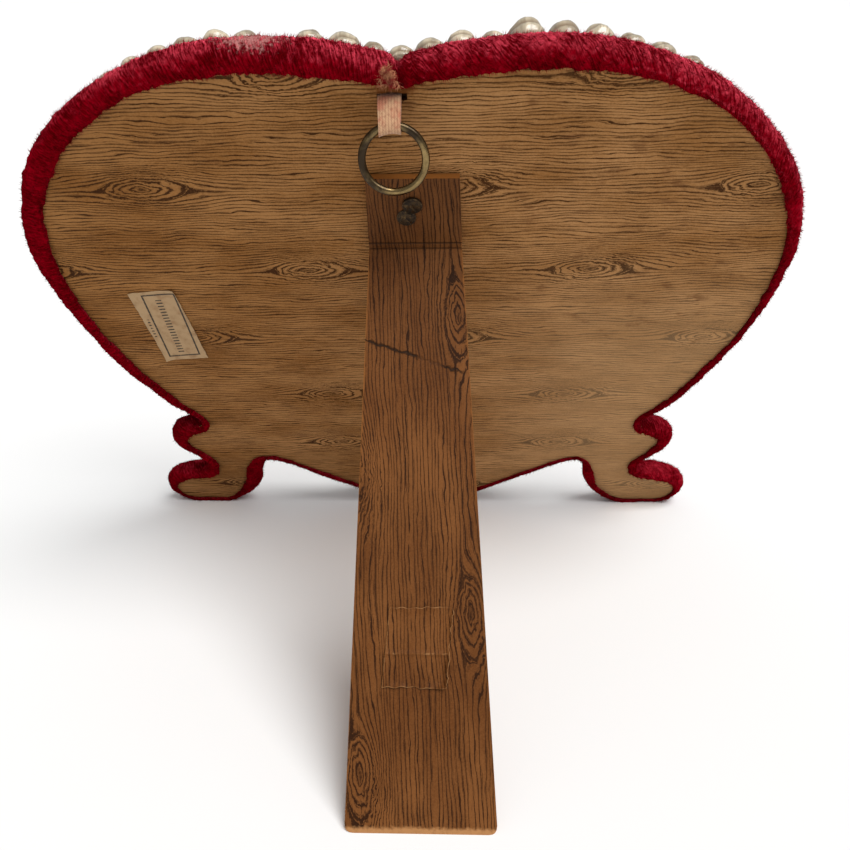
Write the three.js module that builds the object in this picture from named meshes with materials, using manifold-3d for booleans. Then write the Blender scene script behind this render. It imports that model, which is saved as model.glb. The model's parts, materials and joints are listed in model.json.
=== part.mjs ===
// A heart-shaped shellwork ornament that leans back on a folding easel strut.
//
// A papered heart board on two scroll feet is wrapped in padded velvet and rimmed with pearly shells.
// A card strut is bradded to its back, and a brass ring hangs there on a loop of tape.
// Millimetres, +Z up: X runs across the heart, the shells face +Y and the strut reaches towards -Y.
//
// The leaning pieces are made in the board's own frame: X across, Y the depth in front of the board's
// back face, Z the height along the board from the ground line.
import * as THREE from "three";
import { mergeVertices } from "three/addons/utils/BufferGeometryUtils.js";
import Module from "manifold-3d";

const wasm = await Module();
wasm.setup();

const { degToRad } = THREE.MathUtils;

// ---------------------------------------------------------------- driving dimensions

const GAP = 0.3; // clearance between pieces that touch
const LEAN = degToRad(27); // the heart's lean back over its strut
const CURVE_STEP = 7.8; // length of one facet on the long curves
const LEAST_FACETS = 3; // facets on the tightest curves
const MERGE_DISTANCE = 1e-4; // points closer than this are one
const CUTTER_LENGTH = 20; // length of a cutting solid, more than anything that it cuts
const GROUND_SIZE = 600; // side of the block that cuts feet level with the ground

// Right half of the board's outline, from the notch clockwise to the tip. Each station has its place
// (across, up), the direction of travel there in degrees, and the reach of the curve's handle before
// it and after it.
const BOARD_STATIONS = [
  { name: "notch", at: [0, 189], heading: 0, before: 0, after: 1 },
  { name: "notch shoulder", at: [2.4, 189.3], heading: 14, before: 1, after: 7 },
  { name: "lobe top", at: [34, 193.6], heading: 0, before: 14, after: 38 },
  { name: "widest", at: [103, 129], heading: -90, before: 34, after: 25 },
  { name: "above waist", at: [80.4, 59], heading: -123, before: 24, after: 3.4 },
  { name: "waist", at: [78.1, 52.4], heading: -68, before: 3.4, after: 2.6 },
  { name: "scroll bulge", at: [88.4, 42.6], heading: -90, before: 6.8, after: 6 },
  { name: "ankle", at: [79.2, 25.6], heading: -90, before: 6, after: 4.6 },
  { name: "toe top", at: [87.6, 18.2], heading: -4, before: 5, after: 5.4 },
  { name: "toe", at: [99.4, 9.5], heading: -90, before: 5.4, after: 3.8 },
  { name: "sole, outer end", at: [92.5, 1.2], heading: 180, before: 4.5, after: 3 },
  { name: "sole, inner end", at: [80.5, 1.2], heading: 180, before: 3, after: 5 },
  { name: "instep", at: [66, 17.5], heading: 98, before: 7, after: 6 },
  { name: "crotch", at: [57.6, 32], heading: 180, before: 6.2, after: 2.6 },
  { name: "lower edge, top", at: [49.5, 28.6], heading: -145.5, before: 3.6, after: 8 },
  { name: "lower edge, foot", at: [22, 9.6], heading: -145.5, before: 8, after: 8 },
  { name: "tip", at: [0, 3], heading: 180, before: 10, after: 0 },
];

// Right half of the line that the shells' centres follow, in the same form. It crosses the root of
// the foot, so it is a plain heart.
const SHELL_STATIONS = [
  { name: "notch", at: [0, 187.4], heading: 12, before: 0, after: 8 },
  { name: "lobe top", at: [34, 191.8], heading: 0, before: 14, after: 37 },
  { name: "widest", at: [101, 129], heading: -90, before: 33, after: 25 },
  { name: "above waist", at: [78, 60], heading: -123, before: 24, after: 17 },
  { name: "lower edge", at: [46, 29.6], heading: -145.5, before: 16, after: 8 },
  { name: "near the tip", at: [22, 13.6], heading: -145.5, before: 8, after: 8 },
  { name: "tip", at: [0, 7.6], heading: 180, before: 10, after: 0 },
];

const BOARD_THICKNESS = 3;

// Cross-section of the velvet roll round the rim, from the back lip to the front shoulder:
// [distance outside the board's outline, depth].
const BACK_LIP = 2.2; // width of velvet turned onto the back
const VELVET_ROLL = [
  [-BACK_LIP - 0.4, -0.8],
  [0.2, -0.8],
  [2.5, 0.6],
  [3.3, 2.8],
  [2.6, 5.4],
  [0.2, 7],
];
const VELVET_FACE_DEPTH = 7; // depth of the flat that the shells are stuck to

// The crowned cushion inside the row of shells: [share of its full size, rise above the velvet face].
const CUSHION_INSET = 5.4; // from the shells' line to the cushion's edge
const CUSHION_CROWN = [
  [1, -0.5],
  [0.98, 1.8],
  [0.88, 3.8],
  [0.62, 5.4],
  [0.28, 6.1],
];
const CUSHION_CENTRE = [0, 112];

// Shells: diameters in the order they are stuck on, from the notch outwards on each side and then
// over again, and the places, counted from 1, whose shell is gone.
const SHELL_ROWS = [
  { name: "right", side: 1, sizes: [7, 7.2, 6.2, 8.8, 7.8, 7.6, 7.4, 7.6, 7.8, 7.4], lost: [] },
  { name: "left", side: -1, sizes: [5.8, 7.8, 7.4, 7, 6.6, 7, 7.2, 6.8, 7.4, 7.2], lost: [4] },
];
const NOTCH_SHELL_SIZE = 6.6;
const TIP_SHELL_SIZE = 7.4;
const LEAST_SHELL_SIZE = 4; // the last shell of a row is as small as the room left for it, down to this
const SEPARATE_SHELLS = 21; // places on each side whose shells stay clear of their neighbours
const JOINED_SHELL_OVERLAP = 1; // how far cemented neighbours run into each other
const SHELL_SINK = 0.15; // share of the diameter that is flattened on the velvet
const SHELL_SHOULDER = 0.7; // height of the shell's upper ring, as a share of its radius above centre
const SHELL_SIDES = 8;

// The strut: a tapered card, scored across where it folds
const CARD = 2; // thickness
const STRUT_X = 1.9; // centre of the fold, right of the heart's centre line
const FOLD_HEIGHT = 139.35;
const PLATE_TOP_HEIGHT = 162.5;
const PLATE_TOP_WIDTH = 23.8;
const FOLD_WIDTH = 25.4;
const FOOT_LEFT = -16.7; // from the fold's centre
const FOOT_RIGHT = 21.3;
const FOOT_CORNER = 2.2; // radius of the worn corners
const OPENING = degToRad(62.5); // angle between the board and the open leg

// Remains of the paper stay on the leg: how far it lies from the fold, and how far right it sits
const STAY = { from: 96, to: 116, x: 1.8, width: 14, thickness: 0.3 };

// Two domed brad heads that overlap: the lower is trimmed by the upper. The dome's profile is
// [distance from its middle, rise above the card], both as shares of the head's radius.
const BRAD_PROFILE = [
  [0, 0],
  [1, 0],
  [0.93, 0.16],
  [0.55, 0.31],
  [0, 0.36],
];
const UPPER_BRAD = { x: 1.6, height: 154.2, radius: 2.7 };
const LOWER_BRAD = { x: -0.1, height: 150.2, radius: 2.6 };
const BRAD_SIDES = 14;

// The hanging loop, and the slit that it comes out of. The tape's heights count down from the slit:
// its two layers part, the outer one turns plumb, and the bend under the wire has its centre.
const SLIT = { x: -2, height: 184, width: 7, opening: 1.8, depth: 1.6 };
const TAPE = { x: -2.6, width: 5.5, thickness: 0.5, tucked: 0.2, parts: 1, plumb: 5, bend: 7, out: 2.1 };
const RING = { x: -1.9, radius: 7.6, wire: 0.95, drop: 6 }; // drop: from the slit to the wire's axis
const RING_SIDES = 30;
const WIRE_SIDES = 7;

const LABEL = { x: -75.6, height: 105.3, width: 14, length: 31, turn: degToRad(6), thickness: 0.3 };

const FINISH = {
  board: { color: 0x96733f, roughness: 0.8, metalness: 0 },
  strut: { color: 0x7d4d2b, roughness: 0.7, metalness: 0 },
  velvet: { color: 0x8c0820, roughness: 0.95, metalness: 0 },
  shell: { color: 0xd9d0bf, roughness: 0.3, metalness: 0 },
  iron: { color: 0x3a2a22, roughness: 0.6, metalness: 0.8 },
  brass: { color: 0xa08a50, roughness: 0.35, metalness: 1 },
  tape: { color: 0xd6ab92, roughness: 0.9, metalness: 0 },
  label: { color: 0xc9b48a, roughness: 0.9, metalness: 0 },
};

// ---------------------------------------------------------------- solids

// A closed geometry as a manifold solid, its shared vertices merged.
function solid(geometry) {
  const bare = geometry.clone();
  bare.deleteAttribute("normal");
  bare.deleteAttribute("uv");
  const merged = mergeVertices(bare, MERGE_DISTANCE);
  return new wasm.Manifold(
    new wasm.Mesh({
      numProp: 3,
      vertProperties: new Float32Array(merged.attributes.position.array),
      triVerts: new Uint32Array(merged.index.array),
    }),
  );
}

// A manifold solid as a geometry.
function geometryOf(body) {
  const mesh = body.getMesh();
  const geometry = new THREE.BufferGeometry();
  geometry.setAttribute("position", new THREE.BufferAttribute(mesh.vertProperties, 3));
  geometry.setIndex(new THREE.BufferAttribute(mesh.triVerts, 1));
  geometry.computeVertexNormals();
  return geometry;
}

function piece(name, geometry, finish) {
  const mesh = new THREE.Mesh(geometry, new THREE.MeshStandardMaterial(finish));
  mesh.name = name;
  return mesh;
}

// A solid whose cross-sections are closed loops of the same number of points. Each ring is an array
// of Vector2 (across, up) and the depth it lies at; the first and last are closed with flat caps.
function loft(rings) {
  const count = rings[0].loop.length;
  const positions = rings.flatMap(({ loop, depth }) => loop.flatMap((p) => [p.x, depth, p.y]));
  const faces = [];
  for (let ring = 0; ring + 1 < rings.length; ring++) {
    for (let i = 0; i < count; i++) {
      const a = ring * count + i;
      const b = ring * count + ((i + 1) % count);
      faces.push(a, b, a + count, b, b + count, a + count);
    }
  }
  const last = (rings.length - 1) * count;
  for (const [a, b, c] of THREE.ShapeUtils.triangulateShape(rings[0].loop, [])) {
    faces.push(a, b, c);
  }
  for (const [a, b, c] of THREE.ShapeUtils.triangulateShape(rings.at(-1).loop, [])) {
    faces.push(last + a, last + c, last + b);
  }
  const geometry = new THREE.BufferGeometry();
  geometry.setAttribute("position", new THREE.Float32BufferAttribute(positions, 3));
  geometry.setIndex(faces);
  return geometry;
}

// ---------------------------------------------------------------- outlines

// The curve between two stations.
function curveBetween(start, end) {
  const from = new THREE.Vector2(...start.at);
  const to = new THREE.Vector2(...end.at);
  const leave = new THREE.Vector2(Math.cos(degToRad(start.heading)), Math.sin(degToRad(start.heading)));
  const arrive = new THREE.Vector2(Math.cos(degToRad(end.heading)), Math.sin(degToRad(end.heading)));
  return new THREE.CubicBezierCurve(
    from,
    from.clone().addScaledVector(leave, start.after),
    to.clone().addScaledVector(arrive, -end.before),
    to,
  );
}

// The whole outline through a half's stations and their mirror images, as a closed loop of points.
function heartLoop(stations) {
  const half = [];
  for (let i = 0; i + 1 < stations.length; i++) {
    const curve = curveBetween(stations[i], stations[i + 1]);
    const facets = Math.max(LEAST_FACETS, Math.round(curve.getLength() / CURVE_STEP));
    half.push(...curve.getPoints(facets).slice(0, -1));
  }
  half.push(new THREE.Vector2(...stations.at(-1).at));
  const mirrored = half.slice(1, -1).map((p) => new THREE.Vector2(-p.x, p.y));
  return [...half, ...mirrored.reverse()];
}

// A loop moved outwards by a distance, each point along the mean normal of its two sides.
function offsetLoop(loop, distance) {
  return loop.map((point, i) => {
    const before = loop[(i + loop.length - 1) % loop.length];
    const after = loop[(i + 1) % loop.length];
    const along = after.clone().sub(before).normalize();
    return new THREE.Vector2(point.x - along.y * distance, point.y + along.x * distance);
  });
}

function slab(loop, from, to) {
  return loft([
    { loop, depth: from },
    { loop, depth: to },
  ]);
}

// ---------------------------------------------------------------- the heart

const boardLoop = heartLoop(BOARD_STATIONS);
const shellLoop = heartLoop(SHELL_STATIONS);

// The board, with the slit for the hanging tape cut into its back.
function heartBoard() {
  const slit = new THREE.BoxGeometry(SLIT.width, 2 * SLIT.depth, SLIT.opening);
  slit.translate(SLIT.x, 0, SLIT.height);
  return geometryOf(solid(slab(boardLoop, 0, BOARD_THICKNESS)).subtract(solid(slit)));
}

// Everything below the ground, in a frame where the ground is turned about X and crosses the Z axis
// at a height.
function ground(turn, height) {
  const block = new THREE.BoxGeometry(GROUND_SIZE, GROUND_SIZE, GROUND_SIZE);
  block.translate(0, 0, -GROUND_SIZE / 2).rotateX(turn).translate(0, 0, height);
  return solid(block);
}

// Padded velvet: a roll round the rim and a crowned cushion, hollow where the board sits, open at the
// back inside the turned lip, and pressed flat under the feet.
function velvetCover() {
  const roll = VELVET_ROLL.map(([out, depth]) => ({ loop: offsetLoop(boardLoop, out), depth }));
  const edge = offsetLoop(shellLoop, -CUSHION_INSET);
  const centre = new THREE.Vector2(...CUSHION_CENTRE);
  const crown = CUSHION_CROWN.map(([share, rise]) => ({
    loop: edge.map((p) => p.clone().sub(centre).multiplyScalar(share).add(centre)),
    depth: VELVET_FACE_DEPTH + rise,
  }));
  const seat = slab(offsetLoop(boardLoop, GAP), -GAP, BOARD_THICKNESS + GAP);
  const window = slab(offsetLoop(boardLoop, -BACK_LIP), -CUTTER_LENGTH, GAP);
  const padded = solid(loft(roll)).add(solid(loft(crown)));
  const hollowed = padded.subtract(solid(seat)).subtract(solid(window));
  return geometryOf(hollowed.subtract(ground(-LEAN, 0)));
}

// ---------------------------------------------------------------- the shells

// A round shell, flattened where it sits on the velvet, opening towards +Y.
function shell(diameter) {
  const radius = diameter / 2;
  const flat = radius * (1 - 2 * SHELL_SINK);
  const baseRadius = Math.sqrt(radius ** 2 - flat ** 2);
  const shoulder = radius * SHELL_SHOULDER;
  const profile = [
    new THREE.Vector2(0, 0),
    new THREE.Vector2(baseRadius, 0),
    new THREE.Vector2(radius, flat),
    new THREE.Vector2(Math.sqrt(radius ** 2 - shoulder ** 2), flat + shoulder),
    new THREE.Vector2(0, flat + radius),
  ];
  return new THREE.LatheGeometry(profile, SHELL_SIDES);
}

// One side's row: a shell after the other, from the notch shell to the tip shell.
function shellRow(side, sizes) {
  const half = shellLoop.slice(0, shellLoop.length / 2 + 1);
  const line = new THREE.Path(half.map((p) => new THREE.Vector2(side * p.x, p.y)));
  const end = line.getLength() - TIP_SHELL_SIZE / 2 - GAP;
  const row = [];
  let reached = NOTCH_SHELL_SIZE / 2 + GAP;
  for (let i = 0; end - reached > LEAST_SHELL_SIZE; i++) {
    const diameter = Math.min(sizes[i % sizes.length], end - reached);
    const spacing = i < SEPARATE_SHELLS ? GAP : -JOINED_SHELL_OVERLAP;
    const place = line.getPointAt((reached + diameter / 2) / line.getLength());
    row.push({ diameter, place });
    reached += diameter + spacing;
  }
  return row;
}

function shellAt({ diameter, place }) {
  return shell(diameter).translate(place.x, VELVET_FACE_DEPTH + GAP, place.y);
}

function shellPieces() {
  const notch = { diameter: NOTCH_SHELL_SIZE, place: shellLoop[0] };
  const tip = { diameter: TIP_SHELL_SIZE, place: shellLoop[shellLoop.length / 2] };
  const pieces = [
    piece("shell_notch", shellAt(notch), FINISH.shell),
    piece("shell_tip", shellAt(tip), FINISH.shell),
  ];
  for (const { name, side, sizes, lost } of SHELL_ROWS) {
    const row = shellRow(side, sizes);
    for (let place = 1; place <= SEPARATE_SHELLS; place++) {
      if (!lost.includes(place)) {
        const number = String(place).padStart(2, "0");
        pieces.push(piece(`shell_${name}_${number}`, shellAt(row[place - 1]), FINISH.shell));
      }
    }
    const joined = row.slice(SEPARATE_SHELLS).map((one) => solid(shellAt(one)));
    const body = joined.reduce((all, one) => all.add(one));
    pieces.push(piece(`shell_row_lower_${name}`, geometryOf(body), FINISH.shell));
  }
  return pieces;
}

// ---------------------------------------------------------------- the strut

// The part of the strut that is fixed to the board, above the fold.
function strutPlate() {
  const outline = new THREE.Shape([
    new THREE.Vector2(-FOLD_WIDTH / 2, GAP / 2),
    new THREE.Vector2(FOLD_WIDTH / 2, GAP / 2),
    new THREE.Vector2(PLATE_TOP_WIDTH / 2, PLATE_TOP_HEIGHT - FOLD_HEIGHT),
    new THREE.Vector2(-PLATE_TOP_WIDTH / 2, PLATE_TOP_HEIGHT - FOLD_HEIGHT),
  ]);
  const plate = new THREE.ExtrudeGeometry(outline, { depth: CARD, bevelEnabled: false });
  return plate.rotateX(Math.PI / 2).translate(0, CARD, 0);
}

// The leg below the fold, in the fold's own frame: it hangs along -Z, its outer face at Y = 0.
// The foot is cut level with the ground, and its two corners are rounded.
function strutLeg(foldZ, slope) {
  const long = foldZ / Math.cos(slope);
  const outline = new THREE.Shape();
  outline.moveTo(-FOLD_WIDTH / 2, -GAP / 2);
  outline.lineTo(FOOT_LEFT, -long + FOOT_CORNER);
  outline.quadraticCurveTo(FOOT_LEFT, -long, FOOT_LEFT + FOOT_CORNER, -long);
  outline.lineTo(FOOT_LEFT + FOOT_CORNER, -long - CARD);
  outline.lineTo(FOOT_RIGHT - FOOT_CORNER, -long - CARD);
  outline.lineTo(FOOT_RIGHT - FOOT_CORNER, -long);
  outline.quadraticCurveTo(FOOT_RIGHT, -long, FOOT_RIGHT, -long + FOOT_CORNER);
  outline.lineTo(FOLD_WIDTH / 2, -GAP / 2);
  const leg = new THREE.ExtrudeGeometry(outline, { depth: CARD, bevelEnabled: false, curveSegments: 4 });
  leg.rotateX(Math.PI / 2).translate(0, CARD, 0);
  return geometryOf(solid(leg).subtract(ground(slope, -long)));
}

// ---------------------------------------------------------------- small pieces

function bradHead({ x, height, radius }) {
  const profile = BRAD_PROFILE.map(([out, up]) => new THREE.Vector2(out * radius, up * radius));
  const head = new THREE.LatheGeometry(profile, BRAD_SIDES);
  return head.rotateX(Math.PI).translate(x, -CARD - 2 * GAP, height);
}

function lowerBrad() {
  const radius = UPPER_BRAD.radius + GAP;
  const cutter = new THREE.CylinderGeometry(radius, radius, CUTTER_LENGTH, BRAD_SIDES);
  cutter.translate(UPPER_BRAD.x, 0, UPPER_BRAD.height);
  return geometryOf(solid(bradHead(LOWER_BRAD)).subtract(solid(cutter)));
}

// A loop of tape that hangs from the slit and turns under the ring's wire, which is lower at the
// tape's edges than at its middle. It is drawn from the side, (depth, up), and extruded across its width.
function tapeLoop() {
  const inner = RING.wire + GAP;
  const outer = inner + TAPE.thickness;
  const outline = new THREE.Shape();
  outline.moveTo(TAPE.thickness, TAPE.tucked);
  outline.lineTo(-TAPE.thickness, TAPE.tucked);
  outline.lineTo(-TAPE.out - outer, -TAPE.plumb);
  outline.absarc(-TAPE.out, -TAPE.bend, outer, Math.PI, 2 * Math.PI);
  const eye = new THREE.Path();
  eye.moveTo(-GAP, -TAPE.parts);
  eye.lineTo(-TAPE.out - inner, -TAPE.plumb);
  eye.absarc(-TAPE.out, -TAPE.bend, inner, Math.PI, 2 * Math.PI);
  eye.lineTo(-GAP, -TAPE.parts);
  outline.holes.push(eye);
  const options = { depth: TAPE.width, bevelEnabled: false, curveSegments: 6 };
  const loop = new THREE.ExtrudeGeometry(outline, options);
  // (x, y, z) of the drawing become (depth, up, across)
  const turn = new THREE.Matrix4().makeBasis(
    new THREE.Vector3(0, 1, 0),
    new THREE.Vector3(0, 0, 1),
    new THREE.Vector3(1, 0, 0),
  );
  return loop.applyMatrix4(turn).translate(TAPE.x - TAPE.width / 2, 0, 0);
}

function ring() {
  const torus = new THREE.TorusGeometry(RING.radius, RING.wire, WIRE_SIDES, RING_SIDES);
  return torus.rotateX(Math.PI / 2).translate(RING.x, -TAPE.out, -RING.drop - RING.radius);
}

function label() {
  const card = new THREE.BoxGeometry(LABEL.width, LABEL.thickness, LABEL.length);
  return card.rotateY(-LABEL.turn).translate(LABEL.x, -GAP - LABEL.thickness / 2, LABEL.height);
}

// ---------------------------------------------------------------- the ornament

const ornament = new THREE.Group();

// Pieces that lean with the board
const leaning = new THREE.Group();
leaning.rotation.x = LEAN;
leaning.add(piece("heart_board", heartBoard(), FINISH.board));
leaning.add(piece("velvet_cover", velvetCover(), FINISH.velvet));
leaning.add(...shellPieces());
leaning.add(piece("brad_upper", bradHead(UPPER_BRAD), FINISH.iron));
leaning.add(piece("brad_lower", lowerBrad(), FINISH.iron));
leaning.add(piece("label", label(), FINISH.label));
ornament.add(leaning);

// The strut, hinged where its outer face is scored
const fold = new THREE.Group();
fold.position.set(STRUT_X, -GAP - CARD, FOLD_HEIGHT);
fold.add(piece("strut_plate", strutPlate(), FINISH.strut));
leaning.add(fold);

const foldZ = FOLD_HEIGHT * Math.cos(LEAN) - (GAP + CARD) * Math.sin(LEAN);
const swung = new THREE.Group();
swung.rotation.x = -OPENING;
swung.add(piece("strut_leg", strutLeg(foldZ, OPENING - LEAN), FINISH.strut));
const stay = new THREE.BoxGeometry(STAY.width, STAY.thickness, STAY.to - STAY.from);
stay.translate(STAY.x, -GAP - STAY.thickness / 2, -(STAY.from + STAY.to) / 2);
swung.add(piece("stay_remnant", stay, FINISH.strut));
fold.add(swung);

// The tape and ring hang plumb from the slit
const hanging = new THREE.Group();
hanging.position.set(0, -SLIT.height * Math.sin(LEAN), SLIT.height * Math.cos(LEAN));
hanging.add(piece("hanging_tape", tapeLoop(), FINISH.tape));
hanging.add(piece("hanging_ring", ring(), FINISH.brass));
ornament.add(hanging);

// Stand the ornament on Z = 0 with its footprint centred on the origin
const extent = new THREE.Box3().setFromObject(ornament, true);
const middle = extent.getCenter(new THREE.Vector3());
ornament.position.set(-middle.x, -middle.y, -extent.min.z);

export default ornament;
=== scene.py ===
"""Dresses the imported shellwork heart: papers, plush, pearly shells, strut, ring, tape and label.

The heart leans back on a card strut. Sizes are millimetres in the board's own frame: across (X), depth
in front of the board's back face, and up along the board from the ground line.
"""

import functools
import itertools
import json
import logging
import math
from dataclasses import asdict, dataclass
from enum import Enum

import bpy
import numpy as np
from mathutils import Matrix, Vector


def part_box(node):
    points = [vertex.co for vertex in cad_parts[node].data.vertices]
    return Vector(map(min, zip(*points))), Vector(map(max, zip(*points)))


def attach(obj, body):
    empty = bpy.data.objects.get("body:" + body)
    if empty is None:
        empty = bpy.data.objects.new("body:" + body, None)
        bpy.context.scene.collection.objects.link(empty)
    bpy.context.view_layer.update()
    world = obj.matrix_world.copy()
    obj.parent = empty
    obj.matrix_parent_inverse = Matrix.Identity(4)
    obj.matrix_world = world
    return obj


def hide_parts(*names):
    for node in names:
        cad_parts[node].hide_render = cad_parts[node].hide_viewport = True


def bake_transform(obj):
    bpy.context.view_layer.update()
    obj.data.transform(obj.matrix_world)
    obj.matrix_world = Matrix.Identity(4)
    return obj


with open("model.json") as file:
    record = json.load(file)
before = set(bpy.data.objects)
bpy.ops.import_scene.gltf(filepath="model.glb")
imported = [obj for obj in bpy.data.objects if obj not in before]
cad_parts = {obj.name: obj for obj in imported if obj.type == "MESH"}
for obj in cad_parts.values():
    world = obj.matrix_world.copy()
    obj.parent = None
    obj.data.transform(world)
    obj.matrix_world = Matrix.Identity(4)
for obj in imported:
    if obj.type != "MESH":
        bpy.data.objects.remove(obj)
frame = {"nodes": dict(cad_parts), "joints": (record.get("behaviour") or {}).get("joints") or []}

MM = 0.001
LEAN = math.radians(27)
BOARD_THICKNESS = 3.0
NORMALS_SOFTENED = 2.6
Colour = tuple[float, float, float]
Pair = tuple[float, float]
Socket = bpy.types.NodeSocket
Tree = bpy.types.NodeTree
Array = np.ndarray
log = logging.getLogger("shellwork_heart")


class Body(Enum):
    """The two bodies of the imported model."""

    HEART = "heart"
    STRUT = "strut"


# ------------------------------------------------------------------ numbers and shapes


def smooth_step(low: float, high: float, value: Array) -> Array:
    """Rises from 0 at low to 1 at high as 3t^2 - 2t^3."""
    t = np.clip((value - low) / (high - low), 0, 1)
    return t * t * (3 - 2 * t)


def lattice_noise(points: Array, seed: int) -> Array:
    """Value noise: random numbers at whole-number lattice points, blended by smoothstep weights.

    Args:
        points: Places in cells, shape (n, 3).
        seed: Picks the random numbers.

    Returns:
        One number from -1 to 1 for each point.
    """
    cell = np.floor(points).astype(np.int64)
    part = points - cell
    weight = part * part * (3 - 2 * part)
    primes = np.array([73856093, 19349663, 83492791])
    total = np.zeros(len(points))
    for corner in itertools.product((0, 1), repeat=3):
        key = (cell + corner) @ primes + seed * 668265263
        key = (key ^ (key >> 13)) * 1274126177
        value = ((key ^ (key >> 16)) & 0xFFFF) / 0x7FFF - 1
        total += value * np.prod(np.where(corner, weight, 1 - weight), axis=1)
    return total


def through(knots: list[Pair], count: int) -> Array:
    """A Catmull-Rom curve through the knots: each stretch is a cubic whose slopes at its ends are half
    the step between the knots on either side.

    Args:
        knots: Points (a, b) in order.
        count: How many points to give back, evenly spread over the knots.

    Returns:
        Points on the curve, shape (count, 2).
    """
    knot = np.asarray(knots, float)
    padded = np.vstack([2 * knot[0] - knot[1], knot, 2 * knot[-1] - knot[-2]])
    place = np.linspace(0, len(knot) - 1, count)
    start = np.minimum(place.astype(int), len(knot) - 2)
    t = (place - start)[:, None]
    a, b, c, d = (padded[start + k] for k in range(4))
    return 0.5 * (2 * b + (c - a) * t + (2 * a - 5 * b + 4 * c - d) * t**2 + (3 * b - a - 3 * c + d) * t**3)


def grid_faces(rows: int, columns: int, wrap_rows: bool = False, wrap_columns: bool = False) -> Array:
    """Quads between neighbours of a grid whose vertex (r, c) is number r * columns + c.

    Args:
        rows: Number of rows.
        columns: Number of vertices in a row.
        wrap_rows: Joins the last row to the first.
        wrap_columns: Joins the last column to the first.

    Returns:
        Vertex numbers, shape (faces, 4).
    """
    row = np.arange(rows if wrap_rows else rows - 1)[:, None]
    column = np.arange(columns if wrap_columns else columns - 1)[None, :]
    next_row, next_column = (row + 1) % rows, (column + 1) % columns
    corners = [(row, column), (row, next_column), (next_row, next_column), (next_row, column)]
    return np.stack([(r * columns + c).ravel() for r, c in corners], axis=1)


def grid_border(rows: int, columns: int) -> Array:
    """Vertex numbers round the border of a grid, in order."""
    number = np.arange(rows * columns).reshape(rows, columns)
    return np.concatenate([number[0, :-1], number[:-1, -1], number[-1, :0:-1], number[:0:-1, 0]])


def thin_sheet(rows: int, columns: int) -> list[Array]:
    """Faces of a thin sheet: two layers of one grid, the inner first, and walls round their border.

    Args:
        rows: Rows of the grid.
        columns: Columns of the grid.

    Returns:
        Faces over the vertices of both layers.
    """
    quads, edge, layer = grid_faces(rows, columns), grid_border(rows, columns), rows * columns
    walls = np.stack([edge, np.roll(edge, -1), np.roll(edge, -1) + layer, edge + layer], axis=1)
    return [quads[:, ::-1], quads + layer, walls]


def grid_noise(seed: int, *cells: Array) -> Array:
    """Value noise on a grid from up to three coordinates of its points, in cells."""
    whole = [np.broadcast_to(c, cells[0].shape).ravel() for c in (*cells, *[np.zeros(1)] * (3 - len(cells)))]
    return lattice_noise(np.column_stack(whole), seed).reshape(cells[0].shape)


def make_piece(
    name: str,
    places: Array,
    faces: list[Array],
    uv: Array | None = None,
    values: dict[str, Array] | None = None,
    smooth: bool = True,
) -> bpy.types.Object:
    """Puts a computed surface into the scene, its faces turned to point outwards.

    Args:
        name: The piece's name.
        places: Vertices in metres in the row frame, shape (n, 3).
        faces: Arrays of vertex numbers, one for each number of corners.
        uv: Two numbers for each vertex, kept as the piece's UV map.
        values: Named numbers for each vertex, kept as attributes.
        smooth: Shades the surface smooth.

    Returns:
        The new object, at the origin.
    """
    fan = np.vstack([f[:, [0, k, k + 1]] for f in faces for k in range(1, f.shape[1] - 1)])
    a, b, c = (places[fan[:, k]] for k in range(3))
    if np.einsum("ij,ij->i", a, np.cross(b, c)).sum() < 0:
        faces = [f[:, ::-1] for f in faces]
    mesh = bpy.data.meshes.new(name)
    mesh.vertices.add(len(places))
    mesh.vertices.foreach_set("co", np.ascontiguousarray(places, np.float32).ravel())
    loops = np.concatenate([f.ravel() for f in faces]).astype(np.int32)
    sizes = np.concatenate([np.full(len(f), f.shape[1]) for f in faces])
    mesh.loops.add(len(loops))
    mesh.loops.foreach_set("vertex_index", loops)
    mesh.polygons.add(len(sizes))
    mesh.polygons.foreach_set("loop_start", (np.cumsum(sizes) - sizes).astype(np.int32))
    mesh.update(calc_edges=True)
    if uv is not None:
        layer = mesh.uv_layers.new(name="surface")
        layer.uv.foreach_set("vector", uv[loops].astype(np.float32).ravel())
    for label, numbers in (values or {}).items():
        attribute = mesh.attributes.new(label, "FLOAT", "POINT")
        attribute.data.foreach_set("value", numbers.astype(np.float32))
    if smooth:
        mesh.shade_smooth()
    piece = bpy.data.objects.new(name, mesh)
    bpy.context.scene.collection.objects.link(piece)
    return piece


def spikes(roots: Array, along: Array, radius: float) -> tuple[Array, Array, Array]:
    """Fibres as slim three-sided spikes: three base corners round the root and a tip at root + along.

    Args:
        roots: Where the fibres grow, shape (n, 3).
        along: From root to tip, shape (n, 3).
        radius: Of the base.

    Returns:
        Vertices (4n, 3), triangles (4n, 3), and a number for each vertex that is 1 at the tips.
    """
    side = np.cross(along, np.array([0.37, 0.81, 0.45]))
    side /= np.linalg.norm(side, axis=1, keepdims=True)
    other = np.cross(along, side)
    other /= np.linalg.norm(other, axis=1, keepdims=True)
    turns = np.arange(3) * 2 * math.pi / 3
    base = [roots + radius * (math.cos(t) * side + math.sin(t) * other) for t in turns]
    places = np.stack([*base, roots + along], axis=1).reshape(-1, 3)
    first = 4 * np.arange(len(roots))[:, None, None]
    corner = np.array([[0, 1, 3], [1, 2, 3], [2, 0, 3], [0, 2, 1]])
    tips = np.tile([0.0, 0.0, 0.0, 1.0], len(roots))
    return places, (first + corner).reshape(-1, 3), tips


# ------------------------------------------------------------------ frames and outline


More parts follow.
